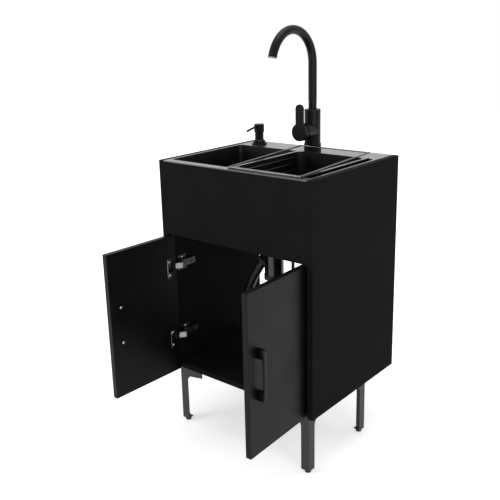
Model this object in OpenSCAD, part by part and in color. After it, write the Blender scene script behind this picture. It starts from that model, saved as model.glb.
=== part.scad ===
// Free-standing vanity unit: a black cabinet on four legs that holds a drop-in sink with its
// mixer, soap dispenser, drain and draining basket, behind two inset doors on concealed hinges.
// Millimetres. The floor is at z = 0, the doors are drawn open and face -Y.

/* [Cabinet] */
// Width over the side panels
cabinet_w = 600; // [580:5:680]
// Depth of the side panels
cabinet_d = 476; // [470:2:520]
// Height of the side panels
carcass_h = 727; // [700:1:800]
// Floor to the underside of the carcass
floor_gap = 205; // [190:1:240]
// Thickness of a side panel
side_t = 20; // [18:1:24]
// Thickness of the bottom board, the apron and the rear rail
board_t = 18; // [16:1:20]
// Front face to the front edge of the bottom board
board_setback = 21; // [20:0.5:24]
// Front face to the back edge of the bottom board
board_back = 365; // [345:5:380]
// Height of the apron above the doors
apron_h = 240; // [225:5:245]
// Height of the rear rail
rail_h = 80; // [70:5:110]
// Rounding of the board edges
edge_r = 1; // [0.5:0.5:3]

/* [Doors] */
// Thickness of a door
door_t = 18; // [16:1:18]
// Gap between a door and its neighbours at the sides
door_side_gap = 1.5; // [1:0.25:3]
// Gap between a door and the apron above it
door_top_gap = 3; // [2:0.5:5]
// Underside of the carcass to the lower edge of a door
door_bottom_gap = 3; // [2:0.5:8]
// Angle at which the doors stand open
open_angle = 92; // [88:1:96]
// Hinge axis, inwards from the side panel
hinge_in = 8; // [7:0.5:9]
// Hinge axis, back from the front face
hinge_back = 3; // [1:0.5:4]

/* [Handles] */
// Distance between the two screws of a handle
handle_pitch = 118; // [96:1:140]
// Length of a handle
handle_l = 152; // [144:1:170]
// Height of a handle over the door
handle_reach = 24; // [20:1:28]
// Width of the handle bar
handle_w = 11; // [8:1:16]
// Free edge of the door to the handle's middle
handle_edge = 41; // [30:1:60]

/* [Concealed hinges] */
// Lower edge of the door to the lower hinge
hinge_low = 120.5; // [90:0.5:140]
// Upper edge of the door to the upper hinge
hinge_high = 109; // [90:0.5:140]
// Diameter of the hinge cup
cup_d = 35; // [34:0.5:36]
// Depth of the hinge cup in the door
cup_depth = 11; // [10:0.5:12]
// Edge of the door to the edge of the cup bore
cup_edge = 3; // [3:0.25:4]
// Length of the cup flange
flange_l = 70; // [64:1:76]
// Thickness of the cup flange
flange_t = 1.5; // [1.2:0.1:1.5]

/* [Legs] */
// Outer corner of a leg to the outer face of the side panel
leg_inset = 28; // [22:1:60]
// Outer corner of a rear leg to the front face
rear_leg_y = 345; // [320:1:345]
// Width of each flange of a leg
leg_flange = 30; // [25:1:34]
// Sheet thickness of a leg
leg_t = 2.5; // [2:0.25:3]
// Length of the mounting bracket of a leg
bracket_l = 100; // [94:1:120]
// Height of the bracket beside the leg
bracket_h = 25; // [22:1:30]
// Height of the bracket at its cut end
bracket_end_h = 18; // [14:1:20]
// Height of the adjusting foot under the leg
foot_h = 9; // [8:0.5:16]
// Diameter of the foot pad
foot_d = 19; // [18:1:25]

/* [Sink] */
// Thickness of the sink deck
deck_t = 3; // [2:0.5:4]
// Wall thickness of the bowl
bowl_t = 2; // [1.5:0.5:2.5]
// Inner face of the side panel to the bowl opening
bowl_side = 8; // [6:1:30]
// Front face to the bowl opening
bowl_front = 28; // [27:1:50]
// Depth of the rear deck behind the bowl opening
rear_deck = 104; // [100:1:115]
// Middle of the bowl back to the drain
drain_shift = 9; // [0:1:20]
// Inner depth of the bowl
bowl_depth = 200; // [180:5:205]
// Corner radius of the bowl
bowl_r = 14; // [8:1:20]

/* [Mixer] */
// Mixer axis, to the right of the middle
mixer_x = 11; // [-10:1:30]
// Back face to the mixer axis
mixer_back = 63; // [58:1:64]
// Diameter of the mixer body
mixer_d = 54; // [48:1:55]
// Height of the mixer body over the deck
mixer_h = 137; // [130:1:160]
// Height of the straight pipe over the deck
pipe_h = 285; // [260:5:340]
// Diameter of the pipe
pipe_d = 28; // [22:1:29]
// Bend radius of the arch, along the pipe's middle
arch_r = 107.5; // [80:0.5:120]
// Angle that the arch turns through
arch_angle = 165; // [150:1:180]
// Height of the lever barrel's axis over the deck
lever_z = 68; // [66:1:85]
// Height of the lever blade over the barrel's axis
lever_h = 91; // [80:1:110]

/* [Soap dispenser] */
// Inner face of the side panel to the dispenser axis
dispenser_side = 60; // [45:1:80]
// Back face to the dispenser axis
dispenser_back = 61; // [56:1:64]
// Height of the dispenser over the deck
dispenser_h = 72; // [68:1:90]
// Reach of the nozzle
nozzle_l = 66; // [50:1:75]

/* [Basket] */
// Inner face of the right side panel to the basket
basket_side = 36; // [30:1:60]
// Width of the basket
basket_w = 252; // [230:1:252]
// Depth of the basket below the deck
basket_h = 110; // [60:5:130]
// Sheet thickness of the basket
basket_t = 1.5; // [1:0.25:2]

/* [Drain] */
// Radius of the strainer flange
strainer_r = 56; // [52:1:60]
// Outer radius of the trap bottle
trap_r = 32; // [28:0.5:33]
// Height of the trap bottle
trap_h = 125; // [110:1:140]
// Outer radius of the drain hose
hose_r = 15.5; // [15:0.5:16]
// Bore radius of the drain hose
hose_bore = 12; // [11:0.25:12.5]
// Number of ribs on the drain hose
hose_ribs = 118; // [60:1:150]

/* [Hidden] */
$fn = 64;

// Clearances
seat_gap = 0.3;
screw_gap = 0.1;
run_gap = 0.05;
bore_gap = 1.5;

// The carcass stands floor_gap over the floor, and the open doors and the cabinet are
// centred on the origin from front to back
inner_half = cabinet_w / 2 - side_t;
door_w = inner_half - 1.5 * door_side_gap;
door_reach = edge_r - hinge_back
    + (inner_half - hinge_in - door_side_gap / 2 - edge_r) * sin(open_angle)
    - (door_t - edge_r - hinge_back) * cos(open_angle);
front_y = (door_reach - cabinet_d) / 2;
deck_z = carcass_h;
apron_z = carcass_h - deck_t - apron_h;

module place() {
    translate([0, front_y, floor_gap]) children();
}

module both_sides() {
    children();
    mirror([1, 0, 0]) children();
}

module rounded_rect(w, d, r) {
    translate([r, 0]) square([w - 2 * r, d]);
    translate([0, r]) square([w, d - 2 * r]);
    for (x = [r, w - r], y = [r, d - r])
        translate([x, y]) circle(r = r);
}

// A rod of radius r from one point to another
module rod(a, b, r) {
    v = b - a;
    turn = atan2(v[1], v[0]);
    lean = acos(v[2] / norm(v));
    translate(a) rotate([0, lean, turn]) cylinder(r = r, h = norm(v));
}

module ring(outer, inner, h) {
    difference() {
        cylinder(r = outer, h = h);
        translate([0, 0, -1]) cylinder(r = inner, h = h + 2);
    }
}

// Wood screws: the underside of the head lies at the origin and the shank points to +Z
screw_r = 1.8;
screw_l = 16;
screw_head_r = 3.8;
screw_head_h = 2.2;

module wood_screw() {
    cylinder(r = screw_r, h = screw_l - 2);
    translate([0, 0, screw_l - 2]) cylinder(r1 = screw_r, r2 = 0.5, h = 2);
    translate([0, 0, -screw_head_h / 2]) cylinder(r = screw_head_r, h = screw_head_h / 2);
    translate([0, 0, -screw_head_h])
        cylinder(r1 = screw_head_r - 1, r2 = screw_head_r, h = screw_head_h / 2);
}

module screw_hole(depth) {
    translate([0, 0, -0.5]) cylinder(r = screw_r + screw_gap, h = depth + 0.5);
}

// Dowels join the boards to the side panels
dowel_r = 4;
dowel_l = 30;
dowel_in_side = 12;
dowel_y = [60, 300];
dowel_edge = 40;
rail_y = cabinet_d - board_t;
rail_z = carcass_h - deck_t - rail_h;
dowel_places = [
    for (y = dowel_y) [y, board_t / 2],
    for (z = [apron_z + dowel_edge, apron_z + apron_h - dowel_edge]) [board_t / 2, z],
    for (z = [rail_z + dowel_edge / 2, rail_z + rail_h - dowel_edge / 2]) [rail_y + board_t / 2, z]
];

// Dowels of the left side, grown by a clearance for their bores
module dowels(grow) {
    for (p = dowel_places)
        translate([-inner_half - dowel_in_side - grow, p[0], p[1]]) rotate([0, 90, 0])
            cylinder(r = dowel_r + grow, h = dowel_l + 2 * grow);
}

// Concealed hinge, in its own plane: u runs inwards from the side panel, v backwards from
// the front face. The door turns about (hinge_in, hinge_back), the link about the pivot.
hinge_z = [door_bottom_gap + hinge_low, apron_z - door_top_gap - hinge_high];
cup_u = door_side_gap + cup_edge + cup_d / 2;
pivot_u = 29;
pivot_v = 31;
link_l = 22.5;
link_angle = 169 + 0.75 * open_angle;
pin_r = 1.5;
link_half = 9.2;
arm_half = 11;
arm_t = 1.4;
web_u = 17.5;
arm_bend_v = 50;
arm_end_v = 105;
plate_v = 39;
plate_l = 39;
plate_half = 25;
plate_t = 3;
plate_screw_z = 17;
plate_screw_v = plate_v + plate_l / 2;
cup_screw_z = 22.5;
cup_screw_u = cup_u + 9.5;
flange_u = cup_u + cup_d / 2;

// Moves a shape drawn in the plane of a left hinge to the cabinet, with its z kept
module hinge_plane() {
    translate([-inner_half, 0, 0]) children();
}

// Turns what is drawn on the closed left door to the open pose
module swing() {
    translate([hinge_in - inner_half, hinge_back, 0]) rotate([0, 0, -open_angle])
        translate([inner_half - hinge_in, -hinge_back, 0]) children();
}

// Leg screws, from the outer corner of a leg
leg_screws = [[34, 14], [86, 12], [14, 34], [12, 86]];
leg_x = cabinet_w / 2 - leg_inset;
foot_offset = 13;

// Sink clips
clip_x = 150;
clip_w = 30;
clip_t = 2;
clip_drop = 40;
clip_reach = 7;
clip_screw_z = carcass_h - deck_t - 28;

// Sink bowl
bowl_x = inner_half - bowl_side;
bowl_y = bowl_front;
bowl_end = cabinet_d - rear_deck;
bowl_z = deck_z - bowl_depth;
bowl_mid = (bowl_y + bowl_end) / 2;
drain_y = bowl_mid + drain_shift;
cup_r = 44;
overflow_side = 138;
overflow_x = inner_half - overflow_side;
overflow_z = deck_z - 38;
overflow_r = 11;
mixer_y = cabinet_d - mixer_back;
dispenser_x = inner_half - dispenser_side;
dispenser_y = cabinet_d - dispenser_back;
shank_r = 16;
collar_r = 13;

// Places of the leg corners on the left side
module at_front_leg() {
    translate([-leg_x, board_setback, 0]) children();
}

module at_rear_leg() {
    translate([-leg_x, rear_leg_y, 0]) mirror([0, 1, 0]) children();
}

module leg_screw_places() {
    for (p = leg_screws)
        translate([p[0], p[1], -leg_t]) children();
}

module plate_screw_places() {
    for (z = hinge_z, side = [-1, 1])
        translate([plate_t - inner_half, plate_screw_v, z + side * plate_screw_z])
            rotate([0, -90, 0]) children();
}

module clip_screw_places() {
    translate([-clip_x, board_t + clip_t, clip_screw_z]) rotate([90, 0, 0]) children();
    translate([-clip_x, rail_y - clip_t, clip_screw_z]) rotate([-90, 0, 0]) children();
}

module left_side_panel_body() {
    difference() {
        translate([-cabinet_w / 2, 0, 0]) linear_extrude(height = carcass_h)
            rounded_rect(side_t, cabinet_d, edge_r);
        dowels(run_gap);
        plate_screw_places() screw_hole(screw_l + 1);
    }
}

module left_side_panel() {
    color("#202021") place() left_side_panel_body();
}

module right_side_panel() {
    color("#202021") place() mirror([1, 0, 0]) left_side_panel_body();
}

module bottom_panel() {
    color("#232324") place() difference() {
        translate([-inner_half, board_setback, 0])
            cube([2 * inner_half, board_back - board_setback, board_t]);
        both_sides() {
            dowels(run_gap);
            at_front_leg() leg_screw_places() screw_hole(screw_l + 1);
            at_rear_leg() leg_screw_places() screw_hole(screw_l + 1);
        }
    }
}

// The apron's lower front edge is rounded like the door edges
module front_apron() {
    color("#1d1d1f") place() difference() {
        translate([-inner_half, 0, apron_z]) rotate([90, 0, 90])
            linear_extrude(height = 2 * inner_half) {
                translate([edge_r, 0]) square([board_t - edge_r, apron_h]);
                translate([0, edge_r]) square([board_t, apron_h - edge_r]);
                translate([edge_r, edge_r]) circle(r = edge_r);
            }
        both_sides() {
            dowels(run_gap);
            clip_screw_places() screw_hole(screw_l);
        }
    }
}

module rear_rail() {
    color("#232324") place() difference() {
        translate([-inner_half, rail_y, rail_z]) cube([2 * inner_half, board_t, rail_h]);
        both_sides() {
            dowels(run_gap);
            clip_screw_places() screw_hole(screw_l);
        }
    }
}

module assembly_dowels() {
    color("#b08a5a") place() both_sides() dowels(0);
}

module wood_screws() {
    color("#c8c8ca") place() both_sides() {
        at_front_leg() leg_screw_places() wood_screw();
        at_rear_leg() leg_screw_places() wood_screw();
        plate_screw_places() wood_screw();
        clip_screw_places() wood_screw();
    }
}

// One flange of a leg: a straight leg that runs into its bracket with an arc
module leg_profile() {
    arc = 24;
    leg_drop = floor_gap - foot_h;
    difference() {
        polygon([
            [0, 0], [bracket_l, 0], [bracket_l, -bracket_end_h], [leg_flange + arc, -bracket_h],
            [leg_flange, -bracket_h - arc], [leg_flange, -leg_drop], [0, -leg_drop]
        ]);
        translate([leg_flange + arc, -bracket_h - arc]) circle(r = arc);
    }
}

// Leg with its outer corner at the origin, under a board whose underside is at z = 0
module leg() {
    foot_bore = 4 + run_gap;
    leg_drop = floor_gap - foot_h;
    plate_w = leg_flange - 5;
    difference() {
        union() {
            translate([0, leg_t, 0]) rotate([90, 0, 0]) linear_extrude(height = leg_t)
                leg_profile();
            mirror([1, -1, 0]) translate([0, leg_t, 0]) rotate([90, 0, 0])
                linear_extrude(height = leg_t) leg_profile();
            translate([0, 0, -leg_t]) linear_extrude(height = leg_t)
                polygon([[0, 0], [bracket_l, 0], [bracket_l, 20], [20, bracket_l], [0, bracket_l]]);
            translate([0, 0, -leg_drop]) cube([plate_w, plate_w, leg_t]);
            translate([foot_offset, foot_offset, -leg_drop]) cylinder(r = 6.5, h = 12);
        }
        leg_screw_places() translate([0, 0, -1]) cylinder(r = screw_r + 0.3, h = leg_t + 2);
        translate([foot_offset, foot_offset, -leg_drop - 1]) cylinder(r = foot_bore, h = 14);
    }
}

module front_legs() {
    color("#2b2b2c") place() both_sides() at_front_leg() leg();
}

module rear_legs() {
    color("#2b2b2c") place() both_sides() at_rear_leg() leg();
}

// Adjusting foot: a threaded stud with a hexagon and a round pad
module foot() {
    pad_h = 5;
    translate([foot_offset, foot_offset, -floor_gap]) {
        cylinder(r = foot_d / 2, h = pad_h - 2);
        translate([0, 0, pad_h - 2]) cylinder(r1 = foot_d / 2, r2 = foot_d / 2 - 3, h = 2);
        translate([0, 0, pad_h]) cylinder(r = 6, h = foot_h - pad_h - seat_gap, $fn = 6);
        cylinder(r = 4, h = foot_h + 24);
    }
}

module front_left_foot() {
    color("#161616") place() at_front_leg() foot();
}

module front_right_foot() {
    color("#161616") place() mirror([1, 0, 0]) at_front_leg() foot();
}

module rear_left_foot() {
    color("#161616") place() at_rear_leg() foot();
}

module rear_right_foot() {
    color("#161616") place() mirror([1, 0, 0]) at_rear_leg() foot();
}

// A box with round vertical edges and a round lower rim, its middle floor point at the origin
module tub(w, d, h, r) {
    for (x = [-1, 1], y = [-1, 1])
        translate([x * (w / 2 - r), y * (d / 2 - r), r]) {
            sphere(r = r);
            cylinder(r = r, h = h - r);
        }
    for (y = [-1, 1])
        translate([r - w / 2, y * (d / 2 - r), r]) rotate([0, 90, 0])
            cylinder(r = r, h = w - 2 * r);
    for (x = [-1, 1])
        translate([x * (w / 2 - r), r - d / 2, r]) rotate([-90, 0, 0])
            cylinder(r = r, h = d - 2 * r);
    translate([r - w / 2, r - d / 2, 0]) cube([w - 2 * r, d - 2 * r, h]);
    translate([-w / 2, r - d / 2, r]) cube([w, d - 2 * r, h - r]);
    translate([r - w / 2, -d / 2, r]) cube([w - 2 * r, d, h - r]);
}

module sink() {
    bowl_w = 2 * bowl_x;
    bowl_l = bowl_end - bowl_y;
    deck_half = inner_half - seat_gap / 2;
    color("#2e3032") place() difference() {
        union() {
            translate([-deck_half, 0, deck_z - deck_t]) cube([2 * deck_half, cabinet_d, deck_t]);
            translate([0, bowl_mid, bowl_z - bowl_t])
                tub(bowl_w + 2 * bowl_t, bowl_l + 2 * bowl_t, bowl_depth, bowl_r + bowl_t);
        }
        translate([0, bowl_mid, bowl_z]) tub(bowl_w, bowl_l, bowl_depth + 1, bowl_r);
        translate([0, drain_y, bowl_z - bowl_t - 1])
            cylinder(r = cup_r + bore_gap, h = bowl_t + 2);
        translate([mixer_x, mixer_y, deck_z - deck_t - 1])
            cylinder(r = shank_r + bore_gap, h = deck_t + 2);
        translate([-dispenser_x, dispenser_y, deck_z - deck_t - 1])
            cylinder(r = collar_r + 1, h = deck_t + 2);
        translate([overflow_x, bowl_end - 1, overflow_z]) rotate([-90, 0, 0])
            cylinder(r = overflow_r + 0.5, h = bowl_t + 2);
    }
}

module clip() {
    translate([-clip_w / 2, 0, -clip_drop]) cube([clip_w, clip_t, clip_drop]);
    translate([-clip_w / 2, 0, -clip_t]) cube([clip_w, clip_reach, clip_t]);
    for (x = [-clip_w / 2, clip_w / 2 - clip_t])
        translate([x, 0, 0]) rotate([90, 0, 90]) linear_extrude(height = clip_t)
            polygon([[0, 0], [clip_reach, 0], [clip_reach, -clip_t], [clip_t, -clip_reach], [0, -clip_reach]]);
}

module sink_clips() {
    under_deck = carcass_h - deck_t;
    color("#b9bbbd") place() difference() {
        both_sides() {
            translate([-clip_x, board_t, under_deck]) clip();
            translate([-clip_x, rail_y, under_deck]) mirror([0, 1, 0]) clip();
        }
        both_sides() clip_screw_places() translate([0, 0, -1])
            cylinder(r = screw_r + 0.3, h = clip_t + 2);
    }
}

// Round grille that covers the overflow hole inside the bowl
module overflow_grille() {
    cap_r = overflow_r + 4;
    cap_t = 2;
    color("#3a3c3e") place() translate([overflow_x, bowl_end - cap_t, overflow_z])
        rotate([-90, 0, 0]) difference() {
            union() {
                cylinder(r = cap_r, h = cap_t);
                ring(overflow_r, overflow_r - 2, cap_t + bowl_t);
            }
            for (x = [-6, 0, 6])
                translate([x - 1.5, -7, -1]) cube([3, 14, cap_t + bowl_t + 2]);
        }
}

// Overflow pipe: an angle piece behind the bowl, a drop, and an angle piece from which a level
// run leads to the strainer's inlet
pipe_r = 9;
pipe_wall = 2;
angle_r = pipe_r + 3;
pipe_back = bowl_end + bowl_t + angle_r + 5;
inlet_drop = 36;
inlet_z = bowl_z - inlet_drop;
inlet_l = cup_r + 14;
cup_depth_under = 50;
cup_low = bowl_z - cup_depth_under;
inlet_turn = atan2(pipe_back - drain_y, overflow_x);
inlet_run = norm([overflow_x, pipe_back - drain_y]);

module overflow_path(level_r, drop_r, over) {
    translate([overflow_x, bowl_end + bowl_t - over, overflow_z]) rotate([-90, 0, 0])
        cylinder(r = level_r, h = pipe_back - bowl_end - bowl_t + over);
    translate([overflow_x, pipe_back, inlet_z])
        cylinder(r = drop_r, h = overflow_z - inlet_z);
    translate([0, drain_y, inlet_z]) rotate([0, 90, inlet_turn]) translate([0, 0, inlet_l - over])
        cylinder(r = level_r, h = inlet_run - inlet_l + over);
}

module overflow_pipe() {
    color("#202122") place() difference() {
        union() {
            overflow_path(pipe_r, pipe_r, 0);
            for (z = [inlet_z, overflow_z])
                translate([overflow_x, pipe_back, z - angle_r]) cylinder(r = angle_r, h = 2 * angle_r);
            translate([overflow_x, bowl_end + bowl_t, overflow_z]) rotate([-90, 0, 0])
                cylinder(r = overflow_r + 4, h = 2.5);
        }
        overflow_path(pipe_r - pipe_wall - 0.5, pipe_r - pipe_wall, 1);
    }
}

// Strainer body: a flanged cup clamped through the bottom of the bowl, with a side inlet
outlet_r = 22;
outlet_l = 28;
outlet_z = cup_low - outlet_l;
module strainer_body() {
    wall = 2.5;
    side_r = pipe_r + 2;
    color("#4a4c4e") place() translate([0, drain_y, 0]) difference() {
        union() {
            translate([0, 0, bowl_z]) cylinder(r1 = strainer_r, r2 = strainer_r - 2, h = 2.5);
            translate([0, 0, cup_low]) cylinder(r = cup_r, h = bowl_z - cup_low);
            translate([0, 0, outlet_z]) cylinder(r = outlet_r, h = cup_low - outlet_z + 1);
            translate([0, 0, inlet_z]) rotate([0, 90, inlet_turn]) cylinder(r = side_r, h = inlet_l);
        }
        translate([0, 0, cup_low + wall]) cylinder(r = cup_r - wall, h = bowl_z - cup_low + 1);
        translate([0, 0, outlet_z - 1]) cylinder(r = outlet_r - wall, h = cup_low - outlet_z + 5);
        translate([0, 0, inlet_z]) rotate([0, 90, inlet_turn]) cylinder(r = pipe_r - pipe_wall, h = inlet_l + 1);
    }
}

module strainer_gasket() {
    color("#101010") place() translate([0, drain_y, bowl_z - bowl_t - 3])
        ring(cup_r + 11, cup_r + screw_gap, 3);
}

module strainer_nut() {
    nut_h = 10;
    color("#242526") place() translate([0, drain_y, bowl_z - bowl_t - 3 - nut_h]) difference() {
        cylinder(r = cup_r + 12, h = nut_h, $fn = 12);
        translate([0, 0, -1]) cylinder(r = cup_r + screw_gap, h = nut_h + 2);
    }
}

// Lift-out basket of the strainer: a pierced cup with a rim and a knob
module strainer_basket() {
    basket_r = cup_r - 2.5 - bore_gap;
    basket_low = cup_low + 2.5 + 6;
    color("#8d9092") place() translate([0, drain_y, 0]) difference() {
        union() {
            difference() {
                translate([0, 0, basket_low])
                    cylinder(r1 = basket_r - 6, r2 = basket_r, h = bowl_z - basket_low);
                translate([0, 0, basket_low + 1.2])
                    cylinder(r1 = basket_r - 7.2, r2 = basket_r - 1.2, h = bowl_z - basket_low);
            }
            translate([0, 0, bowl_z + 2.5 + seat_gap]) ring(cup_r + 1, basket_r - 1.2, 1.2);
            translate([0, 0, bowl_z - 1]) ring(basket_r, basket_r - 1.2, 2.5 + seat_gap + 2);
            translate([0, 0, basket_low]) cylinder(r = 3, h = 38);
            translate([0, 0, basket_low + 38]) cylinder(r = 7, h = 6);
        }
        for (a = [0:30:330])
            rotate([0, 0, a]) translate([24, 0, basket_low - 1]) cylinder(r = 3, h = 4);
        for (a = [0:45:315])
            rotate([0, 0, a]) translate([13, 0, basket_low - 1]) cylinder(r = 3, h = 4);
    }
}

// Bottle trap under the strainer: union nut, bottle with a side branch, screw cup
trap_top = outlet_z + 6;
trap_low = trap_top - trap_h;
trap_wall = 3;
branch_lean = 50;
branch_turn = 15;
branch_l = 90;
branch_z = trap_top - 10;
branch_r = hose_r - 1.5;
branch_way = [-cos(branch_lean) * cos(branch_turn), cos(branch_lean) * sin(branch_turn),
    -sin(branch_lean)];
nut_lip = 2;

module trap_nut() {
    nut_h = 16;
    color("#1c1d1e") place() translate([0, drain_y, trap_top]) difference() {
        union() {
            cylinder(r = outlet_r + 6, h = nut_h);
            for (a = [0:30:330])
                rotate([0, 0, a]) translate([outlet_r + 5.5, 0, 0]) cylinder(r = 2, h = nut_h);
        }
        translate([0, 0, -1]) cylinder(r = outlet_r + screw_gap, h = nut_h + 2);
    }
}

module along_branch() {
    translate([0, drain_y, branch_z]) rotate([0, -90 - branch_lean, -branch_turn]) children();
}

module trap_bottle() {
    cup_seat = 14;
    color("#232527") place() difference() {
        union() {
            translate([0, drain_y, trap_low + cup_seat])
                cylinder(r = trap_r, h = trap_h - cup_seat);
            translate([0, drain_y, trap_low + 2]) cylinder(r = trap_r - 2, h = cup_seat);
            along_branch() translate([0, 0, 20]) cylinder(r = branch_r, h = branch_l - 20);
        }
        translate([0, drain_y, trap_low + 1])
            cylinder(r = trap_r - 2 - trap_wall, h = trap_h - 8);
        translate([0, drain_y, trap_top - 8]) cylinder(r = outlet_r + screw_gap, h = 9);
        along_branch() cylinder(r = branch_r - 2.5, h = branch_l + 1);
    }
}

module trap_cup() {
    cup_h = 16;
    color("#1c1d1e") place() translate([0, drain_y, trap_low - 3]) difference() {
        union() {
            cylinder(r = trap_r + 1, h = cup_h);
            for (a = [0:30:330])
                rotate([0, 0, a]) translate([trap_r + 0.5, 0, 0]) cylinder(r = 1.6, h = cup_h);
        }
        translate([0, 0, 3]) cylinder(r = trap_r - 2 + screw_gap, h = cup_h);
    }
}

// The hose nut lies round the end of the branch, and the hose starts at its face
module hose_nut() {
    nut_l = 17;
    color("#1c1d1e") place() along_branch() translate([0, 0, branch_l - nut_l + nut_lip])
        difference() {
            union() {
                cylinder(r = hose_r + 3, h = nut_l);
                for (a = [0:30:330])
                    rotate([0, 0, a]) translate([hose_r + 2.5, 0, 0]) cylinder(r = 1.5, h = nut_l);
            }
            translate([0, 0, -1]) cylinder(r = branch_r + screw_gap, h = nut_l - nut_lip + 1);
            translate([0, 0, nut_l - nut_lip - 1]) cylinder(r = hose_bore, h = nut_lip + 2);
        }
}

// A smooth curve through hand-set points, sampled at equal steps along its length
function blend_point(a, b, c, d, t) = 0.5 * (2 * b + (c - a) * t
    + (2 * a - 5 * b + 4 * c - d) * t * t + (3 * b - a - 3 * c + d) * t * t * t);
function padded(p) = concat([2 * p[0] - p[1]], p, [2 * p[len(p) - 1] - p[len(p) - 2]]);
function fine(p, steps) = let (q = padded(p)) concat(
    [for (i = [0:len(p) - 2], k = [0:steps - 1])
        blend_point(q[i], q[i + 1], q[i + 2], q[i + 3], k / steps)],
    [p[len(p) - 1]]);
function travelled(c, i = 0, sum = 0, acc = []) = i == len(c) ? acc :
    let (s = i == 0 ? 0 : sum + norm(c[i] - c[i - 1])) travelled(c, i + 1, s, concat(acc, [s]));
function even(c, s, n, k = 0, i = 0, acc = []) = k > n ? acc :
    let (want = s[len(s) - 1] * k / n,
         j = i < len(s) - 2 && s[i + 1] < want ? i + 1 : i)
    j > i ? even(c, s, n, k, j, acc) :
    let (t = (want - s[i]) / (s[i + 1] - s[i]))
    even(c, s, n, k + 1, i, concat(acc, [c[i] + (c[i + 1] - c[i]) * min(t, 1)]));
function sampled(p, n) = let (c = fine(p, 12)) even(c, travelled(c), n);
function tangent(c, i) = let (a = c[max(i - 1, 0)], b = c[min(i + 1, len(c) - 1)])
    (b - a) / norm(b - a);
function square_to(up, t) = let (v = up - (up * t) * t) v / norm(v);
function uprights(c, i = 0, up = [0, 1, 0.1], acc = []) = i == len(c) ? acc :
    let (u = square_to(up, tangent(c, i))) uprights(c, i + 1, u, concat(acc, [u]));
function tube_ring(c, ups, i, r, n) = let (t = tangent(c, i), u = ups[i], v = cross(t, u))
    [for (k = [0:n - 1]) c[i] + r * (cos(360 * k / n) * u + sin(360 * k / n) * v)];

// Triangles between two neighbouring rings of n points
function skin(a, b, n) = [for (k = [0:n - 1]) each [
    [a + k, b + k, b + (k + 1) % n], [a + k, b + (k + 1) % n, a + (k + 1) % n]]];
function flipped(faces) = [for (f = faces) [f[2], f[1], f[0]]];

// A solid tube of n sides along a route
module tube(route, r, rings, n) {
    c = sampled(route, rings);
    ups = uprights(c);
    points = [for (i = [0:rings]) each tube_ring(c, ups, i, r, n)];
    sides = [for (i = [0:rings - 1]) each skin(n * i, n * (i + 1), n)];
    near = [for (k = [1:n - 2]) [0, k, k + 1]];
    far = [for (k = [1:n - 2]) [n * rings, n * rings + k + 1, n * rings + k]];
    polyhedron(points = points, faces = concat(sides, near, far));
}

// A hose with a bore and ribs: each rib is a crest ring and a root ring
module ribbed_tube(route, crest, root, bore, ribs, n) {
    rings = 2 * ribs;
    step = 2;
    c = sampled(route, rings);
    ups = uprights(c);
    shell = [for (i = [0:rings]) each
        tube_ring(c, ups, i, i % 2 == 0 || i < 2 || i > rings - 2 ? crest : root, n)];
    inner = [for (i = [0:step:rings]) each tube_ring(c, ups, i, bore, n)];
    base = n * (rings + 1);
    last = n * rings;
    last_in = base + n * (rings / step);
    outside = [for (i = [0:rings - 1]) each skin(n * i, n * (i + 1), n)];
    inside = flipped([for (i = [0:rings / step - 1]) each skin(base + n * i, base + n * (i + 1), n)]);
    ends = concat(skin(base, 0, n), skin(last, last_in, n));
    polyhedron(points = concat(shell, inner), faces = concat(outside, inside, ends));
}

// Route of the drain hose: out of the trap, down, and along the bottom board to its cuff
hose_start = [0, drain_y, branch_z] + (branch_l + nut_lip) * branch_way;
hose_points = concat([for (run = [0, 22, 44]) hose_start + run * branch_way], [
    [-106, 235.5, 309.5], [-126.5, 234, 267.5], [-137, 224.5, 223], [-136.5, 210, 175],
    [-128, 203.5, 135], [-110, 203, 99.5], [-82.5, 209, 70], [-50, 220.5, 49.5],
    [-11.5, 237.5, 38], [26.5, 255.5, 35.5], [64, 269, 37.5], [96.5, 275, 37.5],
    [117, 276.8, 37], [136, 277, 37]
]);
cuff_r = 18.5;
cuff_l = 44;
cuff_stop = 4;

module drain_hose() {
    color("#2a2b2c") place()
        ribbed_tube(hose_points, hose_r, hose_r - 2, hose_bore, hose_ribs, 8);
}

// Rubber cuff on the free end of the drain hose
module hose_cuff() {
    end = hose_points[len(hose_points) - 1];
    color("#17181a") place() translate(end) rotate([0, 90, 0]) difference() {
        union() {
            cylinder(r = cuff_r, h = 8);
            translate([0, 0, 8]) cylinder(r1 = cuff_r - 1, r2 = cuff_r - 3, h = cuff_l - 8);
        }
        translate([0, 0, -1]) cylinder(r = hose_bore + 0.6, h = cuff_stop + 1);
        translate([0, 0, -1]) cylinder(r = hose_bore, h = cuff_l + 2);
    }
}

// Mixer: base ring, body with its lever barrel, cartridge, spout, shank and nut
base_h = 24;
stem_r = 15;
stem_l = 36;
barrel_r = mixer_d / 2;
barrel_l = 55;
ball_y = 45;
cap_r = barrel_r + 2;
cap_face = 80;
cap_t = 17;
cartridge_r = 17.5;
rotor_r = 15;

module at_mixer() {
    translate([mixer_x, mixer_y, deck_z]) children();
}

// Along the lever barrel: z runs forwards from the mixer's axis
module along_barrel() {
    at_mixer() translate([0, 0, lever_z]) rotate([90, 0, 0]) children();
}

module mixer_base() {
    color("#262729") place() at_mixer() difference() {
        union() {
            cylinder(r = barrel_r + 2, h = base_h - 2);
            translate([0, 0, base_h - 2])
                cylinder(r1 = barrel_r + 2, r2 = barrel_r + 0.5, h = 2);
        }
        translate([0, 0, -1]) cylinder(r = shank_r + screw_gap, h = base_h + 2);
    }
}

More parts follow.
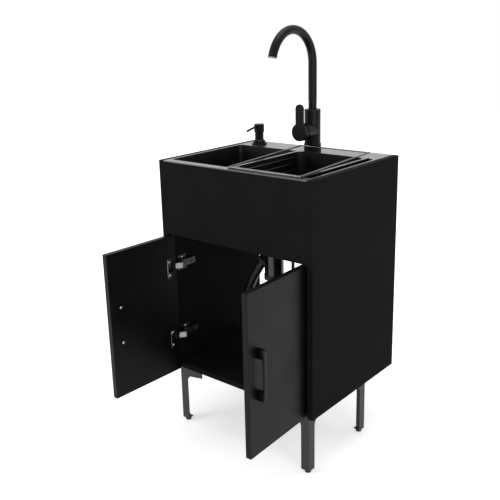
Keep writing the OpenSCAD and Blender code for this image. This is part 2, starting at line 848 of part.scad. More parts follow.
module mixer_body() {
    shoulder = 1;
    color("#262729") place() difference() {
        union() {
            at_mixer() translate([0, 0, base_h])
                cylinder(r = barrel_r, h = mixer_h - base_h - shoulder);
            at_mixer() translate([0, 0, mixer_h - shoulder])
                cylinder(r1 = barrel_r, r2 = barrel_r - shoulder, h = shoulder);
            along_barrel() cylinder(r = barrel_r, h = barrel_l);
        }
        at_mixer() translate([0, 0, mixer_h - stem_l]) cylinder(r = stem_r + run_gap, h = stem_l + 1);
        at_mixer() translate([0, 0, base_h - 1]) cylinder(r = shank_r + screw_gap, h = 13);
        along_barrel() translate([0, 0, barrel_l - 32])
            cylinder(r = cartridge_r + screw_gap, h = 33);
    }
}

// Ceramic cartridge with a hollow for its turning rotor
module mixer_cartridge() {
    color("#c9c9c4") place() along_barrel() difference() {
        translate([0, 0, barrel_l - 32]) cylinder(r = cartridge_r, h = 34);
        translate([0, 0, ball_y - 12]) cylinder(r = rotor_r + run_gap, h = 40);
    }
}

// Cross pin in the rotor, on which the lever tilts
lever_pin_r = 1.5;
module lever_pin(r, half) {
    translate([-half, 0, ball_y]) rotate([0, 90, 0]) cylinder(r = r, h = 2 * half);
}

// Rotor of the cartridge: it turns with the lever, and its slot lets the stem tilt
module lever_rotor() {
    color("#8a8c8e") place() along_barrel() difference() {
        translate([0, 0, ball_y - 12 + seat_gap]) cylinder(r = rotor_r, h = 23);
        translate([-4 - seat_gap, -12, ball_y - 7]) cube([8 + 2 * seat_gap, 24, 30]);
        lever_pin(lever_pin_r + run_gap, 13);
    }
}

// Lever: a square stem, a round cap and a flat blade with a round end
module lever_handle() {
    blade_w = 30;
    blade_t = 7;
    blade_z = cap_face - 11;
    color("#28292b") place() along_barrel() {
        translate([-4, -4, ball_y - 4]) cube([8, 8, cap_face - cap_t - ball_y + 6]);
        lever_pin(lever_pin_r, 12);
        translate([0, 0, cap_face - cap_t]) cylinder(r = cap_r, h = cap_t - 2);
        translate([0, 0, cap_face - 2]) cylinder(r1 = cap_r, r2 = cap_r - 2, h = 2);
        translate([0, 0, blade_z]) linear_extrude(height = blade_t) {
            translate([-blade_w / 2, 0]) square([blade_w, lever_h - blade_w / 2]);
            translate([0, lever_h - blade_w / 2]) circle(r = blade_w / 2);
        }
    }
}

// Spout: a pipe that rises and arches forwards. The same path with a smaller radius is its bore.
module spout_path(r) {
    translate([0, 0, mixer_h - 2]) cylinder(r = r, h = pipe_h - mixer_h + 2);
    translate([0, -arch_r, pipe_h]) rotate([90, 0, 90])
        rotate_extrude(angle = arch_angle, $fn = 96) translate([arch_r, 0]) circle(r = r);
}

// The end of the arch, with z running out of the outlet
module at_outlet() {
    translate([0, -arch_r, pipe_h]) rotate([arch_angle, 0, 0]) translate([0, arch_r, 0])
        children();
}

module mixer_spout() {
    pipe_t = 2;
    color("#262729") place() at_mixer() difference() {
        union() {
            spout_path(pipe_d / 2);
            translate([0, 0, mixer_h - stem_l + seat_gap])
                cylinder(r = stem_r, h = stem_l - seat_gap);
        }
        spout_path(pipe_d / 2 - pipe_t);
        translate([0, 0, mixer_h - stem_l]) cylinder(r = pipe_d / 2 - pipe_t, h = stem_l);
    }
}

module aerator() {
    insert_r = pipe_d / 2 - 2.5;
    color("#9a9c9e") place() at_mixer() at_outlet() difference() {
        translate([0, 0, -9.5]) cylinder(r = insert_r, h = 8.5);
        for (a = [0:60:300])
            rotate([0, 0, a]) translate([5.5, 0, -5]) cylinder(r = 1.4, h = 6);
        translate([0, 0, -5]) cylinder(r = 1.4, h = 6);
    }
}

shank_low = 60;
module mixer_shank() {
    color("#b5a36a") place() at_mixer() translate([0, 0, -shank_low])
        ring(shank_r, shank_r - 2, shank_low + base_h + 10);
}

module mixer_nut() {
    washer_t = 3;
    nut_h = 11;
    color("#b5a36a") place() at_mixer() translate([0, 0, -deck_t - washer_t - nut_h]) difference() {
        union() {
            cylinder(r = shank_r + 6, h = nut_h, $fn = 6);
            translate([0, 0, nut_h]) cylinder(r = shank_r + 8, h = washer_t);
        }
        translate([0, 0, -1]) cylinder(r = shank_r + screw_gap, h = nut_h + washer_t + 2);
    }
}

// Two flexible supply hoses hang out of the shank, each with a threaded tail at its top
tail_r = 5.6;
tail_gap = 6.6;
supply_r = 6;
tail_z = deck_z - shank_low - 8;
module supply_tails() {
    color("#c8c8ca") place()
        for (side = [-1, 1])
            translate([mixer_x + side * tail_gap, mixer_y, tail_z]) {
                cylinder(r = tail_r, h = base_h + 12 + deck_z - tail_z);
                cylinder(r = supply_r + 0.4, h = 7);
            }
}

hot_points = [
    [4.4, 413, 659], [4, 413, 625], [-8, 415, 575], [-33, 419, 520], [-58, 424, 460],
    [-76, 428, 395], [-86, 430, 325], [-86, 430, 255], [-80, 429, 190], [-75, 428, 140], [-75, 428, 110]
];
cold_points = [
    [17.6, 413, 659], [18, 413, 625], [25, 414, 570], [36, 417, 505], [45, 420, 435],
    [50, 422, 360], [50, 422, 285], [46, 421, 215], [44, 420, 150], [44, 420, 115]
];

module supply_hose_hot() {
    color("#303133") place() tube(hot_points, supply_r, 24, 8);
}

module supply_hose_cold() {
    color("#303133") place() tube(cold_points, supply_r, 24, 8);
}

module supply_nut() {
    rotate([180, 0, 0]) difference() {
        union() {
            cylinder(r = supply_r + 1, h = 14);
            translate([0, 0, 14]) cylinder(r = 12, h = 14, $fn = 6);
        }
        translate([0, 0, 16]) cylinder(r = 8.5, h = 13);
    }
}

module supply_nuts() {
    color("#c8c8ca") place() {
        translate(hot_points[len(hot_points) - 1]) supply_nut();
        translate(cold_points[len(cold_points) - 1]) supply_nut();
    }
}

// Soap dispenser: collar through the deck, nut and bottle below it, pump on top
rod_r = 4;
spring_r = 6.5;
pump_bore = 7.5;
spring_top = 24;
spring_low = -30;
neck_r = 15.5;
neck_top = 50;

module at_dispenser() {
    translate([-dispenser_x, dispenser_y, deck_z]) children();
}

module dispenser_collar() {
    thread_l = 45;
    foot_r = 27.5;
    step_r = 21.5;
    neck_low = 18;
    color("#262729") place() at_dispenser() difference() {
        union() {
            cylinder(r1 = foot_r, r2 = foot_r - 1, h = 5);
            translate([0, 0, 5]) cylinder(r = step_r, h = 7);
            translate([0, 0, 12]) cylinder(r1 = step_r, r2 = neck_r, h = neck_low - 12);
            translate([0, 0, neck_low]) cylinder(r = neck_r, h = neck_top - neck_low);
            translate([0, 0, -thread_l]) cylinder(r = collar_r, h = thread_l + 1);
        }
        translate([0, 0, spring_low - 8]) cylinder(r = pump_bore, h = spring_top - spring_low + 12);
        translate([0, 0, -thread_l - 1]) cylinder(r = rod_r + run_gap, h = thread_l + neck_top + 2);
    }
}

module dispenser_nut() {
    color("#1c1d1e") place() at_dispenser() translate([0, 0, -deck_t - 9]) difference() {
        union() {
            cylinder(r = collar_r + 5, h = 9);
            for (a = [0:90:270])
                rotate([0, 0, a]) translate([collar_r + 4, -2.5, 0]) cube([6, 5, 9]);
        }
        translate([0, 0, -1]) cylinder(r = collar_r + screw_gap, h = 11);
    }
}

module dispenser_bottle() {
    bottle_r = 28;
    bottle_h = 120;
    neck_h = 14;
    color("#d9d9d2") place() at_dispenser() translate([0, 0, -deck_t - 15 - neck_h - bottle_h])
        difference() {
            union() {
                cylinder(r = bottle_r, h = bottle_h);
                translate([0, 0, bottle_h]) cylinder(r1 = bottle_r, r2 = collar_r + 2, h = 5);
                translate([0, 0, bottle_h + 5]) cylinder(r = collar_r + 2, h = neck_h - 5);
            }
            translate([0, 0, 2]) cylinder(r = bottle_r - 1.5, h = bottle_h - 3.5);
            translate([0, 0, 4]) cylinder(r = collar_r + screw_gap, h = bottle_h + neck_h);
        }
}

// Plunger: a rod with a shoulder that rides on the spring, below the swivelling head
plunger_top = 66;
module dispenser_plunger() {
    color("#c8c8ca") place() at_dispenser() {
        translate([0, 0, spring_low + 2]) cylinder(r = rod_r, h = plunger_top - spring_low - 2);
        translate([0, 0, spring_top]) cylinder(r = pump_bore - run_gap, h = 3.5);
    }
}

module dispenser_spring() {
    color("#b9bbbd") place() at_dispenser() translate([0, 0, spring_low - 7])
        ring(spring_r, spring_r - 1.4, spring_top - spring_low + 7 - seat_gap);
}

// Head: a knob that slides over the neck, with a thin nozzle that droops towards the bowl
module dispenser_head() {
    knob_r = neck_r + 2.6;
    skirt_low = 44;
    ceiling = neck_top + 13;
    droop = 13;
    edge = 2;
    nozzle_r = 3.8;
    color("#262729") place() at_dispenser() difference() {
        union() {
            translate([0, 0, skirt_low]) cylinder(r = knob_r, h = dispenser_h - skirt_low - edge);
            translate([0, 0, dispenser_h - edge]) cylinder(r1 = knob_r, r2 = knob_r - edge, h = edge);
            rod([0, -6, ceiling + 4], [0, -nozzle_l, ceiling + 4 - droop], nozzle_r);
        }
        translate([0, 0, skirt_low - 1]) cylinder(r = neck_r + 0.4, h = ceiling - skirt_low + 1);
        translate([0, 0, ceiling - 1])
            cylinder(r = rod_r + run_gap, h = plunger_top - ceiling + 1 + seat_gap);
        rod([0, -nozzle_l + 12, ceiling + 6 - droop], [0, -nozzle_l - 1, ceiling + 3.8 - droop], 1.6);
    }
}

// Draining basket over the right half of the bowl: a pierced tray that hangs by its rim
basket_rim = 8;
basket_left = inner_half - basket_side - basket_w;
basket_gap = 5;
basket_y = bowl_front + basket_gap;
basket_l = bowl_end - bowl_front - 2 * basket_gap;
tray_r = 30;
rim_front = 8;
rim_back = bowl_end + 8;
rim_z = deck_z + seat_gap;
bar_r = 2.5;

module tray_slots() {
    slot_r = 2;
    rows = 3;
    row_l = (basket_l - 40) / rows;
    for (x = [24:15:basket_w - 22], i = [0:rows - 1]) {
        translate([x - slot_r, 24 + i * row_l]) square([2 * slot_r, row_l - 8 - 2 * slot_r]);
        for (end = [0, row_l - 8 - 2 * slot_r])
            translate([x, 24 + i * row_l + end]) circle(r = slot_r, $fn = 24);
    }
}

module tray_outline(grow) {
    translate([-grow, -grow])
        rounded_rect(basket_w + 2 * grow, basket_l + 2 * grow, tray_r + grow);
}

module drain_basket() {
    floor_z = deck_z - basket_h;
    bead_r = 1.6;
    color("#2c2e30") place() translate([basket_left, basket_y, 0]) {
        translate([0, 0, floor_z]) linear_extrude(height = basket_h + 1) difference() {
            tray_outline(0);
            tray_outline(-basket_t);
        }
        translate([0, 0, floor_z]) linear_extrude(height = basket_t) difference() {
            tray_outline(0);
            tray_slots();
        }
        translate([0, 0, rim_z]) linear_extrude(height = 2) difference() {
            translate([-basket_rim, rim_front - basket_y])
                rounded_rect(basket_w + 2 * basket_rim, rim_back - rim_front, 6);
            tray_outline(-basket_t);
        }
        for (drop = [14, 34, 56])
            rod([basket_t, tray_r, deck_z - drop], [basket_t, basket_l - tray_r, deck_z - drop], bead_r);
    }
}

// Round bar that frames the basket and rises towards the back
module basket_frame() {
    left = basket_left - basket_rim / 2;
    right = basket_left + basket_w + basket_rim / 2;
    low = rim_z + 2 + bar_r;
    high = low + 13;
    front = rim_front + 5;
    back = rim_back;
    past = 2;
    color("#1b1c1d") place() {
        for (x = [left, right])
            rod([x, front - past, low], [x, back + past, high], bar_r);
        rod([left, front, low], [right, front, low], bar_r - 0.2);
        rod([left, back, high], [right, back, high], bar_r - 0.2);
    }
}

// Doors, drawn closed on the left side and swung open
door_left = -inner_half + door_side_gap;
door_free = door_left + door_w;
door_h = apron_z - door_top_gap - door_bottom_gap;
handle_x = door_free - handle_edge;
handle_z = door_bottom_gap + door_h / 2;
handle_hole_r = 2;

module handle_hole_places() {
    for (side = [-1, 1])
        translate([handle_x, 0, handle_z + side * handle_pitch / 2]) rotate([-90, 0, 0]) children();
}

module cup_screw_places() {
    for (z = hinge_z, side = [-1, 1])
        translate([cup_screw_u - inner_half, door_t + flange_t, z + side * cup_screw_z])
            rotate([90, 0, 0]) children();
}

module door_panel() {
    difference() {
        translate([door_left, 0, door_bottom_gap]) linear_extrude(height = door_h)
            rounded_rect(door_w, door_t, edge_r);
        for (z = hinge_z)
            translate([cup_u - inner_half, door_t - cup_depth - 0.5, z]) rotate([-90, 0, 0])
                cylinder(r = cup_d / 2, h = cup_depth + 2);
        handle_hole_places() translate([0, 0, -1])
            cylinder(r = handle_hole_r + screw_gap, h = door_t + 2);
        cup_screw_places() screw_hole(screw_l - 2);
    }
}

module left_door() {
    color("#1e1e20") place() swing() door_panel();
}

module right_door() {
    color("#343435") place() mirror([1, 0, 0]) swing() door_panel();
}

// Half of a handle's outline, from its foot to the middle: half length, corner and top
function half_bow(half, corner, top) = [
    [-half, 0], [-half, corner + top], [0.3 * corner - half, 0.45 * corner + top],
    [corner - half, handle_rise + top], [-half / 2, 0.3 * handle_rise + top], [0, top]];
function whole_bow(p) = concat(p, [for (i = [len(p) - 2:-1:0]) [-p[i][0], p[i][1]]]);

// Bow handle: blunt feet that run into a thin, slightly bowed grip
handle_rise = 1.6;
module handle() {
    grip = 5;
    foot = 29;
    difference() {
        translate([handle_x - handle_w / 2, 0, handle_z]) rotate([0, 90, 0])
            linear_extrude(height = handle_w) difference() {
                polygon(whole_bow(half_bow(handle_l / 2, 5, -handle_reach)));
                translate([0, 1])
                    polygon(whole_bow(half_bow(handle_l / 2 - foot, 4, grip - 1 - handle_reach)));
            }
        handle_hole_places() translate([0, 0, -12]) cylinder(r = handle_hole_r + screw_gap, h = 13);
    }
}

module left_handle() {
    color("#141415") place() swing() handle();
}

module right_handle() {
    color("#141415") place() mirror([1, 0, 0]) swing() handle();
}

// Handle screws from the inner face, and the two screws of each hinge cup
module door_screws() {
    handle_hole_places() {
        translate([0, 0, -10]) cylinder(r = handle_hole_r, h = door_t + 10);
        translate([0, 0, door_t]) cylinder(r1 = 4.5, r2 = 3.2, h = 2.4);
    }
    cup_screw_places() {
        cylinder(r = screw_r, h = screw_l - 4);
        translate([0, 0, -1.8]) cylinder(r = screw_head_r, h = 1.8);
    }
}

module left_door_screws() {
    color("#c8c8ca") place() swing() door_screws();
}

module right_door_screws() {
    color("#c8c8ca") place() mirror([1, 0, 0]) swing() door_screws();
}

// Hinge cup: a shallow bowl with its flange, and a fork that reaches over the door's edge
module hinge_cup() {
    wall = 1.1;
    fork_in = link_half + 0.6;
    fork_u = cup_u - 11.8;
    module flange() {
        circle(r = cup_d / 2);
        translate([0, -flange_l / 2]) rounded_rect(cup_d / 2, flange_l, 6);
    }
    translate([cup_u, door_t, 0]) rotate([-90, 0, 0]) difference() {
        union() {
            linear_extrude(height = flange_t) flange();
            translate([0, 0, -cup_depth]) cylinder(r = cup_d / 2 - run_gap, h = cup_depth + 0.5);
        }
        translate([0, 0, -cup_depth + wall]) cylinder(r = cup_d / 2 - wall, h = cup_depth + 3);
        for (side = [-1, 1])
            translate([9.5, side * cup_screw_z, -1]) cylinder(r = screw_r + 0.3, h = flange_t + 2);
    }
    for (side = [-1, 1])
        translate([0, 0, side > 0 ? fork_in : -fork_in - arm_t]) linear_extrude(height = arm_t)
            polygon([
                [fork_u, door_t - cup_depth + 0.5], [fork_u + 3, door_t - cup_depth + 0.5],
                [fork_u + 3, door_t + 5], [door_side_gap + 0.5, door_t + 5],
                [door_side_gap + 0.5, door_t + 2.2], [fork_u, door_t + 2.2]
            ]);
}

module left_cups() {
    for (z = hinge_z)
        translate([0, 0, z]) hinge_plane() hinge_cup();
}

module left_hinge_cups() {
    color("#c3c5c7") place() swing() left_cups();
}

module right_hinge_cups() {
    color("#c3c5c7") place() mirror([1, 0, 0]) swing() left_cups();
}

// Link: it turns on the pin in the arm's nose and bridges the gap to the cup
module hinge_link() {
    tip_r = 2;
    eye_r = 3.6;
    tip = link_l * [cos(link_angle), sin(link_angle)];
    side = [sin(link_angle), -cos(link_angle)];
    translate([pivot_u, pivot_v, -link_half]) linear_extrude(height = 2 * link_half) difference() {
        union() {
            circle(r = eye_r);
            translate(tip) circle(r = tip_r);
            polygon([side * eye_r, tip + side * tip_r, tip - side * tip_r, -side * eye_r]);
        }
        circle(r = pin_r + run_gap);
    }
}

module left_links() {
    for (z = hinge_z)
        translate([0, 0, z]) hinge_plane() hinge_link();
}

module left_hinge_links() {
    color("#f0f0ee") place() left_links();
}

module right_hinge_links() {
    color("#f0f0ee") place() mirror([1, 0, 0]) left_links();
}

// Arm: a cranked channel with the link's pin in its nose, held on the plate by two screws
arm_screw_v = [62, 92];
module hinge_arm() {
    nose_r = 4.5;
    cheek = arm_half - arm_t;
    module cheek_shape() {
        translate([pivot_u, pivot_v]) circle(r = nose_r);
        polygon([
            [pivot_u - 3.2, pivot_v - 3.2], [pivot_u + 3.6, pivot_v + 2.7], [web_u, arm_bend_v],
            [web_u, arm_end_v], [4, arm_end_v], [4, arm_bend_v - 4], [12, arm_bend_v - 10]
        ]);
    }
    for (side = [-1, 1])
        translate([0, 0, side > 0 ? cheek : -arm_half]) linear_extrude(height = arm_t) cheek_shape();
    translate([0, 0, -arm_half]) difference() {
        linear_extrude(height = 2 * arm_half)
            polygon([
                [pivot_u + 2, pivot_v + 4.2], [pivot_u + 3, pivot_v + 5.3],
                [web_u + arm_t, arm_bend_v + 0.6], [web_u + arm_t, arm_end_v],
                [web_u, arm_end_v], [web_u, arm_bend_v]
            ]);
        for (v = arm_screw_v)
            translate([web_u - 1, v, arm_half]) rotate([0, 90, 0]) cylinder(r = 2.7, h = 5);
    }
    translate([pivot_u, pivot_v, -arm_half]) cylinder(r = pin_r, h = 2 * arm_half);
    for (v = arm_screw_v)
        translate([web_u + arm_t, v, 0]) rotate([0, 90, 0]) {
            cylinder(r = 4.2, h = 1.8);
            translate([0, 0, -9]) cylinder(r = 2.5, h = 9.5);
        }
}

module hinge_arms() {
    color("#b4b6b8") place() both_sides()
        for (z = hinge_z)
            translate([0, 0, z]) hinge_plane() hinge_arm();
}

// Mounting plate: a winged base on the panel with a block that the arm sits over
module hinge_plate() {
    block_half = arm_half - arm_t - 0.6;
    block_v = 54;
    difference() {
        union() {
            translate([0, plate_v, -plate_half]) cube([plate_t, plate_l, 2 * plate_half]);
            translate([0, block_v, -block_half])
                cube([web_u, arm_end_v - 5 - block_v, 2 * block_half]);
        }
        for (side = [-1, 1])
            translate([-1, plate_screw_v, side * plate_screw_z]) rotate([0, 90, 0])
                cylinder(r = screw_r + 0.3, h = plate_t + 2);
        for (v = arm_screw_v)
            translate([web_u - 10, v, 0]) rotate([0, 90, 0]) cylinder(r = 2.5 + screw_gap, h = 11);
    }
}

module hinge_plates() {
    color("#8f9193") place() both_sides()
        for (z = hinge_z)
            translate([0, 0, z]) hinge_plane() hinge_plate();
}

left_side_panel();
right_side_panel();
bottom_panel();
front_apron();
rear_rail();
assembly_dowels();
wood_screws();
front_legs();
rear_legs();
front_left_foot();
front_right_foot();
rear_left_foot();
rear_right_foot();
sink();
sink_clips();
overflow_grille();
overflow_pipe();
strainer_body();
strainer_gasket();
strainer_nut();
strainer_basket();
trap_nut();
trap_bottle();
trap_cup();
hose_nut();
drain_hose();
hose_cuff();
mixer_base();
mixer_body();
mixer_cartridge();
lever_rotor();
lever_handle();
mixer_spout();
aerator();
mixer_shank();
mixer_nut();
supply_tails();
supply_hose_hot();
supply_hose_cold();
supply_nuts();
dispenser_collar();
dispenser_nut();
dispenser_bottle();
dispenser_plunger();
dispenser_spring();
dispenser_head();
drain_basket();
basket_frame();
left_door();
right_door();
left_handle();
right_handle();
left_door_screws();
right_door_screws();
left_hinge_cups();
right_hinge_cups();
left_hinge_links();
right_hinge_links();
hinge_arms();
hinge_plates();
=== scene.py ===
"""Vanity unit: finishes, dressed pieces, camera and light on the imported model."""
import logging
import math
from dataclasses import dataclass
from enum import Enum

import bmesh
import bpy
from mathutils import Matrix, Vector


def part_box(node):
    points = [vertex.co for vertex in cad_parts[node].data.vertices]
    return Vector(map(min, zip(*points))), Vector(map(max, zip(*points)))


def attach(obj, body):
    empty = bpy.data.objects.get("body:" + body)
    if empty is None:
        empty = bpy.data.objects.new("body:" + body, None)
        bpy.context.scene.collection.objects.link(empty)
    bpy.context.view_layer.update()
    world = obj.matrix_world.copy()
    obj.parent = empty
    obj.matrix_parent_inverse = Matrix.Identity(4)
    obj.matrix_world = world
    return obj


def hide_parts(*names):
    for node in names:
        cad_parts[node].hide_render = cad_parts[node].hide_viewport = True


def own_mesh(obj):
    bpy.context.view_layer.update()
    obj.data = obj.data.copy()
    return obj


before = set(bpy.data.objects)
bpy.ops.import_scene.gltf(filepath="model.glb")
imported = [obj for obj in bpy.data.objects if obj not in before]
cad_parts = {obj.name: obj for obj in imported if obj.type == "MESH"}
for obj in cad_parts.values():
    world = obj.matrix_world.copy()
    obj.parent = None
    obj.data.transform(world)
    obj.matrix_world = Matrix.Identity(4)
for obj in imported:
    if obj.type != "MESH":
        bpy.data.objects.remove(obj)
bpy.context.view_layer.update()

LOG = logging.getLogger("vanity_unit")
MM = 0.001
FRONT_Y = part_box("right_side_panel")[0].y  # front face of the cabinet, in the row frame
FLOOR_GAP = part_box("right_side_panel")[0].z  # underside of the carcass, in the row frame
INNER_HALF = 280.0  # half the inner width, in mm
DECK_Z = 727.0  # top of the deck over the carcass's underside, in mm
OPEN_ANGLE = 92.0  # how far both doors stand open at rest, in degrees
HINGE_IN = 8.0  # a door's axis lies so far inwards from the side panel, in mm
HINGE_BACK = 3.0  # and so far behind the front face, in mm
DOOR_T = 18.0
HINGE_HEIGHTS = (123.5, 372.0)
BEVEL_FROM = 0.6  # edges that turn by more than this are rounded, in radians
SHARP_FROM = 38.0  # edges that turn by more than this are shaded sharp, in degrees
FINE_STEPS = 12  # steps of a route's curve between two given points
LENGTH_STEPS = 400  # steps in which a route's length is measured
RING_UP = Vector((0, 1, 0.1))  # where the first ring of a hose starts

Rgb = tuple[float, float, float]
Point = tuple[float, float, float]
Flat = tuple[float, float]


class Side(Enum):
    """The two sides of the cabinet, as the sign of X."""

    LEFT = -1
    RIGHT = 1

    @property
    def word(self) -> str:
        """The side's name, as it stands in node names."""
        return self.name.lower()


def at(x: float, y: float, z: float) -> Vector:
    """A point of the cabinet, in mm from its front middle underside, in the row frame."""
    return Vector((x * MM, FRONT_Y + y * MM, FLOOR_GAP + z * MM))


def on_panel(side: Side, u: float, v: float, z: float) -> Vector:
    """A point u mm inwards from a side panel and v mm behind the front face, in the row frame."""
    return at(side.value * (INNER_HALF - u), v, z)


def on_door(side: Side, u: float, v: float, z: float) -> Vector:
    """A point drawn on the closed door, carried to the open pose.

    Args:
        side: The door's side.
        u: Distance inwards from the side panel, in mm.
        v: Distance behind the front face, in mm.
        z: Height over the carcass's underside, in mm.

    Returns:
        The point in the row frame, in metres.
    """
    turn = math.radians(OPEN_ANGLE)
    du = u - HINGE_IN
    dv = v - HINGE_BACK
    across = HINGE_IN + du * math.cos(turn) + dv * math.sin(turn)
    back = HINGE_BACK - du * math.sin(turn) + dv * math.cos(turn)
    return on_panel(side, across, back, z)


class Graph:
    """A material's node tree with its shader and its object coordinates."""

    def __init__(self, name: str) -> None:
        """Starts a material.

        Args:
            name: The material's name.
        """
        self.material = bpy.data.materials.new(name)
        self.material.use_nodes = True
        self.nodes = self.material.node_tree.nodes
        self.links = self.material.node_tree.links
        self.shader = self.nodes["Principled BSDF"]
        self.coords = self.add("ShaderNodeTexCoord")

    def put(self, **values: float | tuple) -> None:
        """Sets shader sockets to constant values; an underscore in a name stands for a space."""
        for name, value in values.items():
            self.shader.inputs[name.replace("_", " ")].default_value = value

    def add(self, kind: str, **settings: object) -> bpy.types.Node:
        """Adds a node.

        Args:
            kind: Blender's name of the node type.
            **settings: Properties to set on the node.

        Returns:
            The node.
        """
        node = self.nodes.new(kind)
        for name, value in settings.items():
            setattr(node, name, value)
        return node

    def feed(self, socket: bpy.types.NodeSocket, value: object) -> None:
        """Fills a socket.

        Args:
            socket: The socket to fill.
            value: A constant, or another socket that is linked into it.
        """
        if isinstance(value, bpy.types.NodeSocket):
            self.links.new(value, socket)
        else:
            socket.default_value = value

    def mapped(self, stretch: Point, source: str = "Object") -> bpy.types.NodeSocket:
        """Makes stretched coordinates.

        Args:
            stretch: The factors along X, Y and Z.
            source: Name of the coordinates.

        Returns:
            The socket that gives them.
        """
        node = self.add("ShaderNodeMapping")
        self.links.new(self.coords.outputs[source], node.inputs["Vector"])
        node.inputs["Scale"].default_value = stretch
        return node.outputs["Vector"]

    def noise(self, scale: float, detail: float = 3.0,
              stretch: Point = (1, 1, 1)) -> bpy.types.NodeSocket:
        """Makes noise in object space.

        Args:
            scale: Its grains per metre.
            detail: Its octaves.
            stretch: Factors on the coordinates along X, Y and Z.

        Returns:
            The socket that gives the noise, from 0 to 1.
        """
        node = self.add("ShaderNodeTexNoise")
        self.links.new(self.mapped(stretch), node.inputs["Vector"])
        node.inputs["Scale"].default_value = scale
        node.inputs["Detail"].default_value = detail
        return node.outputs["Fac"]

    def span(self, value: object, low: float, high: float,
             start: float = 0.3, end: float = 0.7) -> bpy.types.NodeSocket:
        """Maps a value onto another range.

        Args:
            value: The value, a constant or a socket.
            low: What its start becomes.
            high: What its end becomes.
            start: Where the value starts.
            end: Where the value ends.

        Returns:
            The socket that gives the mapped value.
        """
        node = self.add("ShaderNodeMapRange")
        for name, part in (("Value", value), ("From Min", start), ("From Max", end),
                           ("To Min", low), ("To Max", high)):
            self.feed(node.inputs[name], part)
        return node.outputs["Result"]

    def math(self, operation: str, a: object, b: object = 0.0) -> bpy.types.NodeSocket:
        """Adds one arithmetic step.

        Args:
            operation: Blender's name of the step.
            a: The first value, a constant or a socket.
            b: The second value, likewise.

        Returns:
            The socket that gives the result.
        """
        node = self.add("ShaderNodeMath", operation=operation)
        self.feed(node.inputs[0], a)
        self.feed(node.inputs[1], b)
        return node.outputs[0]

    def blend(self, factor: object, a: Rgb, b: Rgb) -> bpy.types.NodeSocket:
        """Mixes two colours.

        Args:
            factor: The share of the second colour.
            a: The first colour.
            b: The second colour.

        Returns:
            The socket that gives the mixed colour.
        """
        node = self.add("ShaderNodeMix", data_type="RGBA")
        self.feed(node.inputs[0], factor)
        node.inputs[6].default_value = (*a, 1)
        node.inputs[7].default_value = (*b, 1)
        return node.outputs[2]

    def relief(self, height: object, strength: float, depth: float, edge: float = 0.0) -> None:
        """Gives the shader a bump, over edges that are softened by a radius.

        Args:
            height: Height of the relief, from 0 to 1.
            strength: Strength of the bump.
            depth: Depth of the bump, in metres.
            edge: Radius that the sharp edges seem to have, in metres.
        """
        bump = self.add("ShaderNodeBump")
        bump.inputs["Strength"].default_value = strength
        bump.inputs["Distance"].default_value = depth
        self.feed(bump.inputs["Height"], height)
        if edge:
            soft = self.add("ShaderNodeBevel", samples=4)
            soft.inputs["Radius"].default_value = edge
            self.links.new(soft.outputs["Normal"], bump.inputs["Normal"])
        self.links.new(bump.outputs["Normal"], self.shader.inputs["Normal"])


@dataclass(frozen=True)
class Finish:
    """A finish between two close tones, with its roughness and the rounding of its edges."""

    name: str
    slot: str
    dark: Rgb
    light: Rgb
    rough: Flat = (0.4, 0.5)
    specular: float = 0.5
    edge: float = 0.0

    def material(self) -> bpy.types.Material:
        """Finds or makes the finish's material.

        Returns:
            The material, which is made once.
        """
        found = bpy.data.materials.get(self.name)
        if found is None:
            graph = Graph(self.name)
            graph.put(Specular_IOR_Level=self.specular)
            self.paint(graph)
            found = graph.material
        return found

    def tone(self, graph: Graph, factor: object) -> None:
        """Links the colour between the two tones to the shader."""
        graph.links.new(graph.blend(factor, self.dark, self.light), graph.shader.inputs["Base Color"])

    def roughness(self, graph: Graph, factor: object) -> None:
        """Links the roughness to the shader."""
        graph.links.new(graph.span(factor, *self.rough), graph.shader.inputs["Roughness"])

    def paint(self, graph: Graph) -> None:
        """Draws the finish into the material: a mottled tone with a fine relief.

        Args:
            graph: The material's node graph.
        """
        self.tone(graph, graph.span(graph.noise(40), 0, 1))
        self.roughness(graph, graph.noise(90))
        graph.relief(graph.noise(1500), 0.08, 0.0003, self.edge)


@dataclass(frozen=True)
class LacqueredBoard(Finish):
    """Satin black lacquer on board, with a slight orange peel and cloudy gloss."""

    def paint(self, graph: Graph) -> None:
        """Cloudy tone, cloudy gloss, and the peel of a sprayed coat.

        Args:
            graph: The material's node graph.
        """
        self.tone(graph, graph.span(graph.noise(9, 4), 0, 1))
        self.roughness(graph, graph.noise(14, 5))
        graph.relief(graph.noise(320, 2), 0.05, 0.0004, self.edge)


@dataclass(frozen=True)
class PowderCoat(Finish):
    """Powder coat on metal, with its fine grit."""

    def paint(self, graph: Graph) -> None:
        """Fine grit in tone, gloss and relief.

        Args:
            graph: The material's node graph.
        """
        self.tone(graph, graph.span(graph.noise(600, 4), 0, 1))
        self.roughness(graph, graph.noise(120, 4))
        graph.relief(graph.noise(1800, 3), 0.14, 0.0004, self.edge)


@dataclass(frozen=True)
class BrushedMetal(Finish):
    """Metal with brushing marks along one axis, with a clear coat if it has one."""

    along: Point = (4, 260, 260)
    coat: float = 0.0

    def paint(self, graph: Graph) -> None:
        """Long fine marks in tone, gloss and relief.

        Args:
            graph: The material's node graph.
        """
        graph.put(Metallic=1.0, Coat_Weight=self.coat, Coat_Roughness=0.2)
        marks = graph.noise(6, 6, self.along)
        self.tone(graph, graph.span(marks, 0, 1))
        self.roughness(graph, marks)
        graph.relief(marks, 0.06, 0.0003, self.edge)


@dataclass(frozen=True)
class PlatedMetal(Finish):
    """Bright plated metal with faint clouds and tiny dents."""

    def paint(self, graph: Graph) -> None:
        """Clouds of the plating bath in tone and gloss.

        Args:
            graph: The material's node graph.
        """
        graph.put(Metallic=1.0)
        self.tone(graph, graph.span(graph.noise(170, 5), 0, 1))
        self.roughness(graph, graph.noise(240, 4))
        graph.relief(graph.noise(700, 2), 0.05, 0.0003, self.edge)


